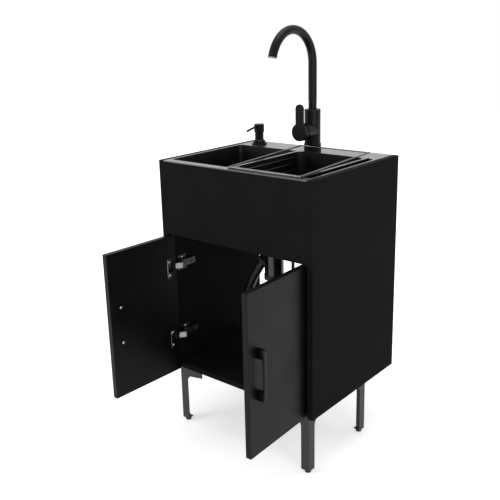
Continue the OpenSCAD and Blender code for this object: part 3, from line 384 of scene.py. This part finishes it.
@dataclass(frozen=True)
class BraidedHose(Finish):
    """Woven sleeve of a supply hose, laid out along the hose's own map."""

    strands: float = 12.0

    def paint(self, graph: Graph) -> None:
        """Two crossing sets of strands in tone and relief.

        Args:
            graph: The material's node graph.
        """
        split = graph.add("ShaderNodeSeparateXYZ")
        graph.links.new(graph.coords.outputs["UV"], split.inputs[0])
        round_it = graph.math("MULTIPLY", split.outputs["X"], self.strands * math.tau)
        along = graph.math("MULTIPLY", split.outputs["Y"], self.strands * math.tau)
        left = graph.math("SINE", graph.math("ADD", round_it, along))
        right = graph.math("SINE", graph.math("SUBTRACT", round_it, along))
        weave = graph.span(graph.math("MULTIPLY", left, right), 0, 1, -1, 1)
        self.tone(graph, weave)
        self.roughness(graph, weave)
        graph.relief(weave, 0.5, 0.0006)


@dataclass(frozen=True)
class TurnedWood(Finish):
    """Plain wood with its grain along X."""

    def paint(self, graph: Graph) -> None:
        """Long grain in tone, gloss and relief.

        Args:
            graph: The material's node graph.
        """
        grain = graph.noise(9, 8, (5, 60, 60))
        self.tone(graph, graph.span(grain, 0, 1))
        self.roughness(graph, grain)
        graph.relief(grain, 0.15, 0.0005)


BOARD = LacqueredBoard("black_lacquer", "black_board", (0.0115, 0.0115, 0.0116), (0.0135, 0.0135, 0.0136),
                       (0.36, 0.48), 0.003, 0.0012)
DOOR_BOARD = LacqueredBoard("black_door_lacquer", "black_board", (0.0012, 0.0012, 0.0013),
                            (0.0022, 0.0022, 0.0023), (0.36, 0.46), 0.13, 0.0012)
METAL = PowderCoat("black_powder_coat", "black_metal", (0.0028, 0.0028, 0.003), (0.0042, 0.0042, 0.0045),
                   (0.3, 0.38), 0.13, 0.0008)
LEG_METAL = PowderCoat("black_leg_coat", "black_metal", (0.01, 0.01, 0.0105), (0.015, 0.015, 0.0155),
                       (0.42, 0.52), 0.4, 0.0006)
SINK = BrushedMetal("black_sink_steel", "sink_black", (0.07, 0.071, 0.074), (0.11, 0.112, 0.116),
                    (0.26, 0.36), 0.5, 0.001, (3, 240, 240), 0.4)
BASKET = BrushedMetal("black_basket_steel", "sink_black", (0.05, 0.05, 0.052), (0.085, 0.085, 0.088),
                      (0.24, 0.34), 0.5, 0.0006, (240, 3, 240), 0.3)
FRAME = PlatedMetal("black_frame_plate", "black_metal", (0.13, 0.13, 0.132), (0.2, 0.2, 0.202), (0.16, 0.26),
                    0.5, 0.0003)
ZINC = PlatedMetal("zinc_plate", "bright_steel", (0.52, 0.52, 0.53), (0.68, 0.68, 0.69), (0.2, 0.34),
                   0.5, 0.0003)
# Bright hinge steel in a far darker tone than the zinc plate: painted shade, the dark reflection of the
# cabinet's inside put into its colour.
SHADED_HINGE = PlatedMetal("shaded_hinge_nickel", "bright_steel", (0.035, 0.035, 0.037), (0.11, 0.11, 0.115), (0.2, 0.4), 0.5,
                    0.0003)
STEEL = BrushedMetal("brushed_steel", "steel", (0.36, 0.37, 0.38), (0.5, 0.51, 0.52), (0.22, 0.34), 0.5,
                     0.0003, (120, 120, 6))
BRASS = BrushedMetal("turned_brass", "brass", (0.46, 0.34, 0.15), (0.62, 0.48, 0.24), (0.22, 0.36), 0.5,
                     0.0003, (60, 60, 900))
PLASTIC = Finish("black_plastic", "black_plastic", (0.01, 0.0105, 0.011), (0.016, 0.0165, 0.017),
                 (0.36, 0.48), 0.45, 0.0005)
GLOSS_PLASTIC = Finish("black_gloss_plastic", "black_plastic", (0.009, 0.0095, 0.01),
                       (0.014, 0.0145, 0.015), (0.16, 0.26), 0.5, 0.0005)
WHITE = Finish("white_plastic", "white_plastic", (0.7, 0.7, 0.68), (0.78, 0.78, 0.76), (0.25, 0.35), 0.5, 0.0004)
RUBBER = Finish("black_rubber", "black_rubber", (0.008, 0.008, 0.008), (0.013, 0.013, 0.013), (0.6, 0.75),
                0.35, 0.0004)
BRAID = BraidedHose("braided_sleeve", "black_rubber", (0.006, 0.006, 0.0065), (0.03, 0.03, 0.032),
                    (0.4, 0.6), 0.4)
BEECH = TurnedWood("beech_dowel", "beech", (0.38, 0.23, 0.11), (0.55, 0.36, 0.19), (0.5, 0.65))

NODE_FINISHES: dict[str, Finish] = {
    **dict.fromkeys(("left_side_panel", "right_side_panel", "bottom_panel", "front_apron", "rear_rail"), BOARD),
    **dict.fromkeys(("left_door", "right_door"), DOOR_BOARD),
    **dict.fromkeys(("front_legs", "rear_legs"), LEG_METAL),
    **dict.fromkeys(("mixer_base", "mixer_body", "mixer_spout", "lever_handle", "dispenser_collar",
                     "dispenser_head", "left_handle", "right_handle"), METAL),
    "basket_frame": FRAME,
    **dict.fromkeys(("sink", "overflow_grille", "strainer_body"), SINK),
    "drain_basket": BASKET,
    **dict.fromkeys(("sink_clips", "wood_screws", "supply_tails", "supply_nuts", "left_door_screws",
                     "right_door_screws", "dispenser_spring"), ZINC),
    # hinge cups, arms and plates in the darkened hinge steel: painted shade
    **dict.fromkeys(("left_hinge_cups", "right_hinge_cups", "hinge_arms", "hinge_plates"), SHADED_HINGE),
    **dict.fromkeys(("strainer_basket", "aerator", "dispenser_plunger"), STEEL),
    **dict.fromkeys(("mixer_shank", "mixer_nut"), BRASS),
    **dict.fromkeys(("front_left_foot", "front_right_foot", "rear_left_foot", "rear_right_foot",
                     "overflow_pipe", "strainer_nut", "trap_nut", "trap_cup", "hose_nut", "lever_rotor",
                     "dispenser_nut", "drain_hose"), PLASTIC),
    "trap_bottle": GLOSS_PLASTIC,
    **dict.fromkeys(("strainer_gasket", "hose_cuff", "supply_hose_hot", "supply_hose_cold"), RUBBER),
    **dict.fromkeys(("mixer_cartridge", "dispenser_bottle", "left_hinge_links", "right_hinge_links"), WHITE),
    "assembly_dowels": BEECH,
}


class Maker:
    """Gathers faces of one piece, in the row frame, in metres."""

    def __init__(self) -> None:
        """Starts an empty mesh."""
        self.mesh = bmesh.new()
        self.map = self.mesh.loops.layers.uv.new("UVMap")

    def loft(self, rings: list[list[Vector]], cap: bool = True, wrap: float = 0.0) -> None:
        """Joins rings of equally many points by faces.

        Args:
            rings: Closed rings of points, one after another.
            cap: Whether the first and the last ring are closed by a face.
            wrap: If not 0, the length in metres that one unit of the map stands for.
        """
        rows = [[self.mesh.verts.new(p) for p in ring] for ring in rings]
        count = len(rows[0])
        gone = [0.0]
        for a, b in zip(rings, rings[1:]):
            gone.append(gone[-1] + (sum(b, Vector()) / count - sum(a, Vector()) / count).length)
        for i, (low, high) in enumerate(zip(rows, rows[1:])):
            for k in range(count):
                n = (k + 1) % count
                face = self.mesh.faces.new((low[k], low[n], high[n], high[k]))
                face.smooth = True
                if wrap:
                    corners = ((k, i), (k + 1, i), (k + 1, i + 1), (k, i + 1))
                    for loop, (step, row) in zip(face.loops, corners):
                        loop[self.map].uv = (step / count, gone[row] / wrap)
        if cap:
            self.mesh.faces.new(rows[0][::-1])
            self.mesh.faces.new(rows[-1])

    def lathe(self, place: Matrix, profile: list[Flat], sides: int = 40, cap: bool = True) -> None:
        """Turns a profile of (radius, height) in mm round the Z axis of a place."""
        self.loft([[place @ Vector((r * MM * math.cos(a), r * MM * math.sin(a), h * MM))
                    for a in (math.tau * k / sides for k in range(sides))] for r, h in profile], cap)

    def prism(self, bottom: list[Vector], top: list[Vector]) -> None:
        """Closes the space between two equal outlines.

        Args:
            bottom: The first outline.
            top: The second outline, with as many points.
        """
        low = [self.mesh.verts.new(p) for p in bottom]
        high = [self.mesh.verts.new(p) for p in top]
        for k in range(len(low)):
            n = (k + 1) % len(low)
            self.mesh.faces.new((low[k], low[n], high[n], high[k]))
        self.mesh.faces.new(low[::-1])
        self.mesh.faces.new(high)

    def piece(self, name: str, finish: Finish, body: str, replaces: tuple[str, ...] = (),
              bevel: float = 0.0, segments: int = 3) -> bpy.types.Object:
        """Makes the gathered faces an object that rides on a body.

        Args:
            name: Name of the piece.
            finish: Its finish.
            body: The body that it rides on.
            replaces: CAD nodes that it stands for.
            bevel: Rounding of its sharp edges, in mm.
            segments: Steps of that rounding.

        Returns:
            The object.
        """
        bmesh.ops.recalc_face_normals(self.mesh, faces=self.mesh.faces)
        if bevel:
            sharp = [edge for edge in self.mesh.edges
                     if len(edge.link_faces) == 2 and edge.calc_face_angle(0) > BEVEL_FROM]
            bmesh.ops.bevel(self.mesh, geom=sharp, offset=bevel * MM, segments=segments, profile=0.5,
                            affect="EDGES", clamp_overlap=True)
        data = bpy.data.meshes.new(name)
        self.mesh.to_mesh(data)
        self.mesh.free()
        for face in data.polygons:
            face.use_smooth = True
        data.set_sharp_from_angle(angle=math.radians(SHARP_FROM))
        thing = bpy.data.objects.new(name, data)
        bpy.context.scene.collection.objects.link(thing)
        data.materials.append(finish.material())
        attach(thing, body)
        if replaces:
            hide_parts(*replaces)
        LOG.info("%s: %d faces on %s", name, len(data.polygons), body)
        return thing


def facing(centre: Vector, axis: Vector) -> Matrix:
    """A place whose Z axis points along an axis."""
    return Matrix.Translation(centre) @ axis.to_track_quat("Z", "Y").to_matrix().to_4x4()


@dataclass(frozen=True)
class Route:
    """The middle line of a hose, through given points of the cabinet in mm."""

    points: tuple[Point, ...]

    def line(self, count: int) -> list[Vector]:
        """Points at equal steps along a smooth curve through the given points.

        Args:
            count: Number of steps.

        Returns:
            count + 1 points in the row frame.
        """
        p = [at(*q) for q in self.points]
        p = [2 * p[0] - p[1], *p, 2 * p[-1] - p[-2]]
        fine: list[Vector] = []
        for a, b, c, d in zip(p, p[1:], p[2:], p[3:]):
            for k in range(FINE_STEPS):
                t = k / FINE_STEPS
                fine.append(0.5 * (2 * b + (c - a) * t + (2 * a - 5 * b + 4 * c - d) * t * t
                                   + (3 * b - a - 3 * c + d) * t ** 3))
        fine.append(p[-2])
        gone = [0.0]
        for a, b in zip(fine, fine[1:]):
            gone.append(gone[-1] + (b - a).length)
        out, j = [], 0
        for k in range(count + 1):
            want = gone[-1] * k / count
            while j < len(fine) - 2 and gone[j + 1] < want:
                j += 1
            share = (want - gone[j]) / (gone[j + 1] - gone[j])
            out.append(fine[j].lerp(fine[j + 1], min(share, 1)))
        return out

    def length(self) -> float:
        """Length of the route in metres."""
        line = self.line(LENGTH_STEPS)
        return sum((b - a).length for a, b in zip(line, line[1:]))

    def rings(self, radii: list[float], sides: int) -> list[list[Vector]]:
        """Rings round the line, without any twist between them.

        Args:
            radii: Radius of each ring, in mm.
            sides: Number of sides of each ring.

        Returns:
            The rings in the row frame.
        """
        line = self.line(len(radii) - 1)
        up = RING_UP
        rings = []
        for i, (centre, radius) in enumerate(zip(line, radii)):
            along = (line[min(i + 1, len(line) - 1)] - line[max(i - 1, 0)]).normalized()
            up = (up - up.dot(along) * along).normalized()
            side = along.cross(up)
            rings.append([centre + radius * MM * (math.cos(a) * up + math.sin(a) * side)
                          for a in (math.tau * k / sides for k in range(sides))])
        return rings


@dataclass
class PhotoCamera:
    """The camera at the photo's angle, fitted to the corners of the cabinet and its doors."""

    azimuth: float = 40.05
    elevation: float = 15.9
    roll: float = -1.39
    place: Point = (1403.4, -1580.2, 1142.4)
    focal: float = 726.9
    photo: float = 500.0
    sensor: float = 36.0
    lift: float = -0.04
    near: float = 0.05
    far: float = 60.0

    def build(self) -> None:
        """Makes the camera the scene's own."""
        a, e, r = (math.radians(x) for x in (self.azimuth, self.elevation, self.roll))
        back = Vector((math.sin(a) * math.cos(e), -math.cos(a) * math.cos(e), math.sin(e)))
        right = (-back).cross(Vector((0, 0, 1))).normalized()
        up = right.cross(-back)
        right, up = right * math.cos(r) + up * math.sin(r), up * math.cos(r) - right * math.sin(r)
        data = bpy.data.cameras.new("photo_camera")
        data.sensor_width = self.sensor
        data.lens = self.focal / self.photo * self.sensor
        data.shift_y = self.lift
        data.clip_start, data.clip_end = self.near, self.far
        camera = bpy.data.objects.new("photo_camera", data)
        bpy.context.scene.collection.objects.link(camera)
        turn = Matrix((right, up, back)).transposed().to_4x4()
        camera.matrix_world = Matrix.Translation(at(*self.place)) @ turn
        bpy.context.scene.camera = camera


@dataclass
class SoftBox:
    """A square lamp that faces a point of the object."""

    name: str
    place: Point
    size: float
    power: float
    target: Point = (0.0, 0.0, 0.6)

    def build(self) -> None:
        """Hangs the lamp."""
        data = bpy.data.lights.new(self.name, "AREA")
        data.shape, data.size, data.energy = "SQUARE", self.size, self.power
        lamp = bpy.data.objects.new(self.name, data)
        bpy.context.scene.collection.objects.link(lamp)
        lamp.location = self.place
        lamp.rotation_mode = "QUATERNION"
        lamp.rotation_quaternion = (Vector(self.place) - Vector(self.target)).to_track_quat("Z", "Y")


@dataclass
class Studio:
    """White room: a pale floor, an even sky and soft lamps."""

    floor_half: float = 9.0
    floor_tone: float = 0.86
    floor_cloud: float = 0.02
    near_glow: float = 0.5
    glow_from: float = 0.5
    glow_to: float = 2.4
    sky: float = 0.5
    lamps: tuple[SoftBox, ...] = (
        SoftBox("front_left_lamp", (-1.8, -2.6, 2.4), 1.6, 34),
        SoftBox("right_lamp", (2.6, -1.2, 1.0), 1.4, 18),
        SoftBox("top_lamp", (0.2, 0.3, 3.2), 1.8, 34),
    )

    def build(self) -> None:
        """Builds floor, sky and lamps, and sets the plain view."""
        bpy.context.scene.view_settings.view_transform = "Standard"
        self.build_floor()
        self.build_sky()
        for lamp in self.lamps:
            lamp.build()

    @staticmethod
    def seen(tree: bpy.types.NodeTree, *rays: str) -> bpy.types.NodeSocket:
        """Tells rays of the camera and of other kinds from the rest.

        Args:
            tree: The node tree to add to.
            *rays: Blender's names of the other kinds.

        Returns:
            The socket that gives 1 for these rays, else 0.
        """
        path = tree.nodes.new("ShaderNodeLightPath")
        value = path.outputs["Is Camera Ray"]
        for name in rays:
            node = tree.nodes.new("ShaderNodeMath")
            node.operation = "MAXIMUM"
            tree.links.new(value, node.inputs[0])
            tree.links.new(path.outputs[name], node.inputs[1])
            value = node.outputs[0]
        return value

    def build_floor(self) -> None:
        """Lays the floor, which shows white and keeps the object's shadow."""
        data = bpy.data.meshes.new("floor")
        h = self.floor_half
        data.from_pydata([(-h, -h, 0), (h, -h, 0), (h, h, 0), (-h, h, 0)], [], [(0, 1, 2, 3)])
        floor = bpy.data.objects.new("floor", data)
        bpy.context.scene.collection.objects.link(floor)
        graph = Graph("pale_floor")
        tone = self.floor_tone
        graph.links.new(graph.blend(graph.noise(3), (tone,) * 3, (tone + self.floor_cloud,) * 3),
                        graph.shader.inputs["Base Color"])
        graph.put(Roughness=0.7, Specular_IOR_Level=0.1, Emission_Color=(1, 1, 1, 1))
        length = graph.add("ShaderNodeVectorMath", operation="LENGTH")
        graph.links.new(graph.coords.outputs["Object"], length.inputs[0])
        white = graph.span(length.outputs["Value"], self.near_glow, 1.0, self.glow_from, self.glow_to)
        seen = self.seen(graph.material.node_tree, "Is Glossy Ray", "Is Transmission Ray")
        glow = graph.math("MULTIPLY", seen, white)
        graph.links.new(glow, graph.shader.inputs["Emission Strength"])
        data.materials.append(graph.material)

    def build_sky(self) -> None:
        """Lights the scene evenly, with a white background."""
        world = bpy.data.worlds.new("white_room")
        bpy.context.scene.world = world
        world.use_nodes = True
        tree = world.node_tree
        sky = tree.nodes["Background"]
        sky.inputs["Color"].default_value = (1, 1, 1, 1)
        mix = tree.nodes.new("ShaderNodeMapRange")
        tree.links.new(self.seen(tree, "Is Glossy Ray", "Is Transmission Ray"), mix.inputs["Value"])
        mix.inputs["To Min"].default_value = self.sky
        mix.inputs["To Max"].default_value = 1.0
        tree.links.new(mix.outputs["Result"], sky.inputs["Strength"])


@dataclass
class DrainHose:
    """Ribbed drain hose from the trap to its cuff on the bottom board."""

    route: Route = Route((
        (-57.121, 224.306, 374.524), (-70.781, 227.966, 357.671), (-84.44, 231.626, 340.818),
        (-106, 235.5, 309.5), (-126.5, 234, 267.5), (-137, 224.5, 223), (-136.5, 210, 175),
        (-128, 203.5, 135), (-110, 203, 99.5), (-82.5, 209, 70), (-50, 220.5, 49.5),
        (-11.5, 237.5, 38), (26.5, 255.5, 35.5), (64, 269, 37.5), (96.5, 275, 37.5),
        (117, 276.8, 37), (136, 277, 37)))
    radius: float = 15.5
    rib_depth: float = 2.2
    ribs: int = 118
    sides: int = 28
    path_steps: int = 180
    wave: tuple[float, ...] = (0.0, 0.12, 0.55, 1.0, 0.55, 0.12)

    def build(self) -> None:
        """Builds the hose with a round crest and a narrow groove for each rib."""
        steps = len(self.wave)
        radii = [self.radius - self.rib_depth * self.wave[i % steps] for i in range(self.ribs * steps + 1)]
        maker = Maker()
        maker.loft(self.route.rings(radii, self.sides))
        hose = maker.piece("drain_hose_ribbed", GLOSS_PLASTIC, "cabinet", ("drain_hose",))
        self.route.length()
        [tuple(p) for p in self.route.line(self.path_steps)]


@dataclass
class SupplyHose:
    """Braided supply hose that hangs out of the mixer's shank, with a crimped sleeve at its lower end."""

    name: str
    node: str
    route: Route
    radius: float = 6.0
    inset: float = 0.15
    steps: int = 150
    sides: int = 24
    sleeve_l: float = 16.0
    sleeve_wall: float = 0.9
    sleeve_fit: float = 0.1
    sleeve_sides: int = 32
    groove_depth: float = 0.55
    groove_half: float = 0.6
    grooves: tuple[float, ...] = (3.0, 6.0, 9.0)
    sleeve_chamfer: float = 0.8
    aim_steps: int = 200
    aim_back: int = 5

    def build(self) -> None:
        radius = self.radius - self.inset
        maker = Maker()
        maker.loft(self.route.rings([radius] * (self.steps + 1), self.sides), wrap=math.tau * self.radius * MM)
        hose = maker.piece(f"{self.name}_hose_braided", BRAID, "cabinet", (self.node,))
        sleeve = self.build_sleeve()
        self.route.length()
        [tuple(p) for p in self.route.line(self.steps)]

    def build_sleeve(self) -> bpy.types.Object:
        """Builds the crimped metal sleeve at the lower end, with its pressed grooves.

        Returns:
            The sleeve.
        """
        line = self.route.line(self.aim_steps)
        end, before = line[-1], line[-1 - self.aim_back]
        seat, crest = self.radius + self.sleeve_fit, self.radius + self.sleeve_wall
        half, low = self.groove_half, crest - self.groove_depth
        maker = Maker()
        rows = [(seat, 0), (crest, half)]
        for groove in self.grooves:
            rows += [(crest, groove), (low, groove + half), (crest, groove + 2 * half)]
        rows += [(crest, self.sleeve_l - self.sleeve_chamfer), (seat, self.sleeve_l)]
        maker.lathe(facing(end, before - end), rows, self.sleeve_sides, cap=False)
        return maker.piece(f"{self.name}_hose_sleeve", ZINC, "cabinet")


@dataclass(frozen=True)
class ScrewHead:
    """Pan head with a cross recess, drawn as a dark cross of painted shade."""

    radius: float
    height: float
    sides: int = 28
    tip_r: float = 0.02
    recess_depth: float = 0.4
    recess_rise: float = 0.03

    def add(self, maker: Maker, recess: Maker, centre: Vector, axis: Vector) -> None:
        """Adds a head on a surface.

        Args:
            maker: Gathers the heads.
            recess: Gathers the dark crosses, painted shade in the cross recesses.
            centre: Middle of the head's seat.
            axis: Direction in which the head stands out.
        """
        place = facing(centre, axis)
        r, h = self.radius, self.height
        dome = ((1, 0), (1, 0.35), (0.9, 0.7), (0.66, 0.93), (0.5, 1))
        maker.lathe(place, [(a * r, b * h) for a, b in dome] + [(self.tip_r, h)], self.sides)
        # The cross recess is drawn as a black prism sunk into the dome and rising just above it: painted shade.
        long, wide = 0.5 * r, 0.14 * r
        cross = [(wide, wide), (wide, long), (-wide, long), (-wide, wide), (-long, wide), (-long, -wide),
                 (-wide, -wide), (-wide, -long), (wide, -long), (wide, -wide), (long, -wide), (long, wide)]
        low, high = ([place @ Vector((x * MM, y * MM, (h + rise) * MM)) for x, y in cross]
                     for rise in (-self.recess_depth, self.recess_rise))
        recess.prism(low, high)


@dataclass
class CabinetDoor:
    """What dresses one door: bow handle, screw heads, painted highlights on the flange edges and the links of
    its hinges.
    """

    side: Side
    gap: float = 1.5
    bottom: float = 3.0
    height: float = 478.0
    width: float = 277.75
    handle_edge: float = 41.0
    handle_pitch: float = 118.0
    handle_half: float = 76.0
    handle_reach: float = 24.0
    handle_w: float = 11.0
    handle_foot: float = 29.0
    handle_grip: float = 5.0
    handle_rise: float = 1.6
    handle_edge_r: float = 1.0
    outer_corner: float = 5.0
    inner_corner: float = 4.0
    corner_steps: int = 5
    grip_stations: tuple[float, ...] = (0.7, 0.45, 0.2)
    handle_screw: ScrewHead = ScrewHead(4.5, 2.4)
    cup_screw: ScrewHead = ScrewHead(3.8, 1.8)
    cup_u: float = 31.5
    cup_screw_half: float = 22.5
    flange_t: float = 1.5
    link_pivot: Flat = (29.0, 31.0)
    link_length: float = 22.5
    link_angle: float = 238.0
    link_half: float = 9.2
    link_eye_r: float = 3.6
    link_tip_r: float = 2.0
    link_steps: int = 9
    link_edge_r: float = 1.3
    # The painted highlight: a bright zinc strip over the outer edge of each cup's flange.
    highlight_u: float = 39.6
    highlight_half: float = 30.0
    highlight_edge_r: float = 0.3
    highlight_outline: tuple[Flat, ...] = ((1.6, 0.1), (0.0, 0.1), (0.0, 1.9), (1.0, 1.9), (1.6, 1.5))

    @property
    def body(self) -> str:
        """Name of the door's body."""
        return f"{self.side.word}_door"

    @property
    def handle_u(self) -> float:
        """Distance of the handle's middle line from the side panel, in mm."""
        return self.gap + self.width - self.handle_edge

    @property
    def handle_z(self) -> float:
        """Height of the handle's middle, in mm."""
        return self.bottom + self.height / 2

    def build(self) -> None:
        """Builds what dresses the door."""
        self.build_handle()
        self.build_screws()
        self.build_flange_highlights()
        self.build_links()

    def bow(self, half: float, corner: float, top: float) -> list[Flat]:
        """Outline of the bow from one foot over the grip to the other.

        Args:
            half: Half its length.
            corner: Size of its rounded corner.
            top: Where its middle lies.

        Returns:
            Points as (height, depth) in mm.
        """
        rise = self.handle_rise
        arc = [(-half, 0.0)]
        for k in range(self.corner_steps + 1):
            a = math.pi / 2 * k / self.corner_steps
            arc.append((corner * (1 - math.cos(a)) - half, top + corner - (corner - rise) * math.sin(a)))
        arc += [(x, top + rise * (x / (half - corner)) ** 2) for x in (-half * k for k in self.grip_stations)]
        return arc + [(-x, y) for x, y in arc[::-1]]

    def build_handle(self) -> None:
        """Builds the bow handle: blunt feet that run into a thin, slightly bowed grip."""
        reach = self.handle_reach
        outer = self.bow(self.handle_half, self.outer_corner, -reach)
        inner = self.bow(self.handle_half - self.handle_foot, self.inner_corner, self.handle_grip - reach)
        outline = outer + inner[::-1]
        maker = Maker()
        ends = [self.handle_u - self.handle_w / 2, self.handle_u + self.handle_w / 2]
        low, high = ([on_door(self.side, u, min(v, 0), self.handle_z + z) for z, v in outline] for u in ends)
        maker.prism(low, high)
        maker.piece(f"{self.side.word}_bow_handle", METAL, self.body, (f"{self.side.word}_handle",),
                    bevel=self.handle_edge_r)

    def build_screws(self) -> None:
        """Builds the heads of the handle and cup screws, with dark crosses of painted shade in their cross
        recesses.
        """
        heads, recess = Maker(), Maker()
        inward = on_door(self.side, 0, 1, 0) - on_door(self.side, 0, 0, 0)
        for turn in (-1, 1):
            self.handle_screw.add(heads, recess, on_door(
                self.side, self.handle_u, DOOR_T, self.handle_z + turn * self.handle_pitch / 2), inward)
            for z in HINGE_HEIGHTS:
                self.cup_screw.add(heads, recess, on_door(
                    self.side, self.cup_u, DOOR_T + self.flange_t, z + turn * self.cup_screw_half), inward)
        heads.piece(f"{self.side.word}_door_screw_heads", ZINC, self.body,
                    (f"{self.side.word}_door_screws",))
        # The crosses take the black plastic finish: painted shade in the recesses.
        recess.piece(f"{self.side.word}_door_screw_recesses", PLASTIC, self.body)

    def build_flange_highlights(self) -> None:
        """Builds a bright zinc strip over the real edge of each cup's flange: a painted highlight on the dark
        flange.
        """
        maker = Maker()
        outline = [(self.highlight_u - u, DOOR_T + v) for u, v in self.highlight_outline]
        for z in HINGE_HEIGHTS:
            low, high = ([on_door(self.side, u, v, z + s * self.highlight_half) for u, v in outline]
                         for s in (-1, 1))
            maker.prism(low, high)
        # The strip is bright zinc on the dark hinge flange: a painted highlight.
        maker.piece(f"{self.side.word}_flange_rims", ZINC, self.body, bevel=self.highlight_edge_r, segments=2)

    def build_links(self) -> None:
        """Builds the two hinge links as bright rounded blocks."""
        a = math.radians(self.link_angle)
        pivot = Vector(self.link_pivot)
        tip = pivot + self.link_length * Vector((math.cos(a), math.sin(a)))
        outline = []
        for centre, radius, start in ((pivot, self.link_eye_r, a + math.pi / 2),
                                      (tip, self.link_tip_r, a - math.pi / 2)):
            for k in range(self.link_steps + 1):
                b = start + math.pi * k / self.link_steps
                outline.append(centre + radius * Vector((math.cos(b), math.sin(b))))
        maker = Maker()
        for z in HINGE_HEIGHTS:
            low, high = ([on_panel(self.side, p.x, p.y, z + s * self.link_half) for p in outline]
                         for s in (-1, 1))
            maker.prism(low, high)
        maker.piece(f"{self.side.word}_hinge_link_blocks", WHITE, f"{self.side.word}_links",
                    (f"{self.side.word}_hinge_links",), bevel=self.link_edge_r)


@dataclass
class SoapPump:
    """Return spring of the soap pump, inside its collar."""

    x: float = -220.0
    y: float = 415.0
    low: float = -37.0
    high: float = 23.7
    radius: float = 5.8
    wire: float = 0.7
    turns: int = 11
    stroke: float = 12.0
    turn_steps: int = 24
    wire_sides: int = 8

    def build(self) -> None:
        """Builds the coil."""
        steps, sides = self.turns * self.turn_steps, self.wire_sides
        bottom = self.low + self.wire
        rise = self.high - self.low - 2 * self.wire
        rings = []
        for i in range(steps + 1):
            t = i / steps
            a = math.tau * self.turns * t
            out = Vector((math.cos(a), math.sin(a), 0))
            centre = at(self.x, self.y, DECK_Z + bottom + rise * t) + out * self.radius * MM
            rings.append([centre + self.wire * MM * (math.cos(b) * out + math.sin(b) * Vector((0, 0, 1)))
                          for b in (math.tau * k / sides for k in range(sides))])
        maker = Maker()
        maker.loft(rings)
        coil = maker.piece("pump_spring_coil", ZINC, "cabinet", ("dispenser_spring",))
        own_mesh(coil)


def dress_nodes() -> None:
    """Gives every CAD node its finish."""
    for name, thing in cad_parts.items():
        material = NODE_FINISHES[name].material()
        if not thing.data.materials:
            thing.data.materials.append(material)
        for slot in thing.material_slots:
            slot.material = material
        LOG.info("%s: %s", name, material.name)


HOT = SupplyHose("hot", "supply_hose_hot", Route((
    (4.4, 413, 659), (4, 413, 625), (-8, 415, 575), (-33, 419, 520), (-58, 424, 460), (-76, 428, 395),
    (-86, 430, 325), (-86, 430, 255), (-80, 429, 190), (-75, 428, 140), (-75, 428, 110))))
COLD = SupplyHose("cold", "supply_hose_cold", Route((
    (17.6, 413, 659), (18, 413, 625), (25, 414, 570), (36, 417, 505), (45, 420, 435),
    (50, 422, 360), (50, 422, 285), (46, 421, 215), (44, 420, 150), (44, 420, 115))))


def main() -> None:
    """Builds camera, hoses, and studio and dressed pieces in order."""
    logging.basicConfig(level=logging.INFO, format="%(name)s %(message)s")
    PhotoCamera().build()
    DrainHose().build()
    HOT.build()
    COLD.build()
    Studio().build()
    dress_nodes()
    for side in Side:
        CabinetDoor(side).build()
    SoapPump().build()


if __name__ == "__main__":
    main()
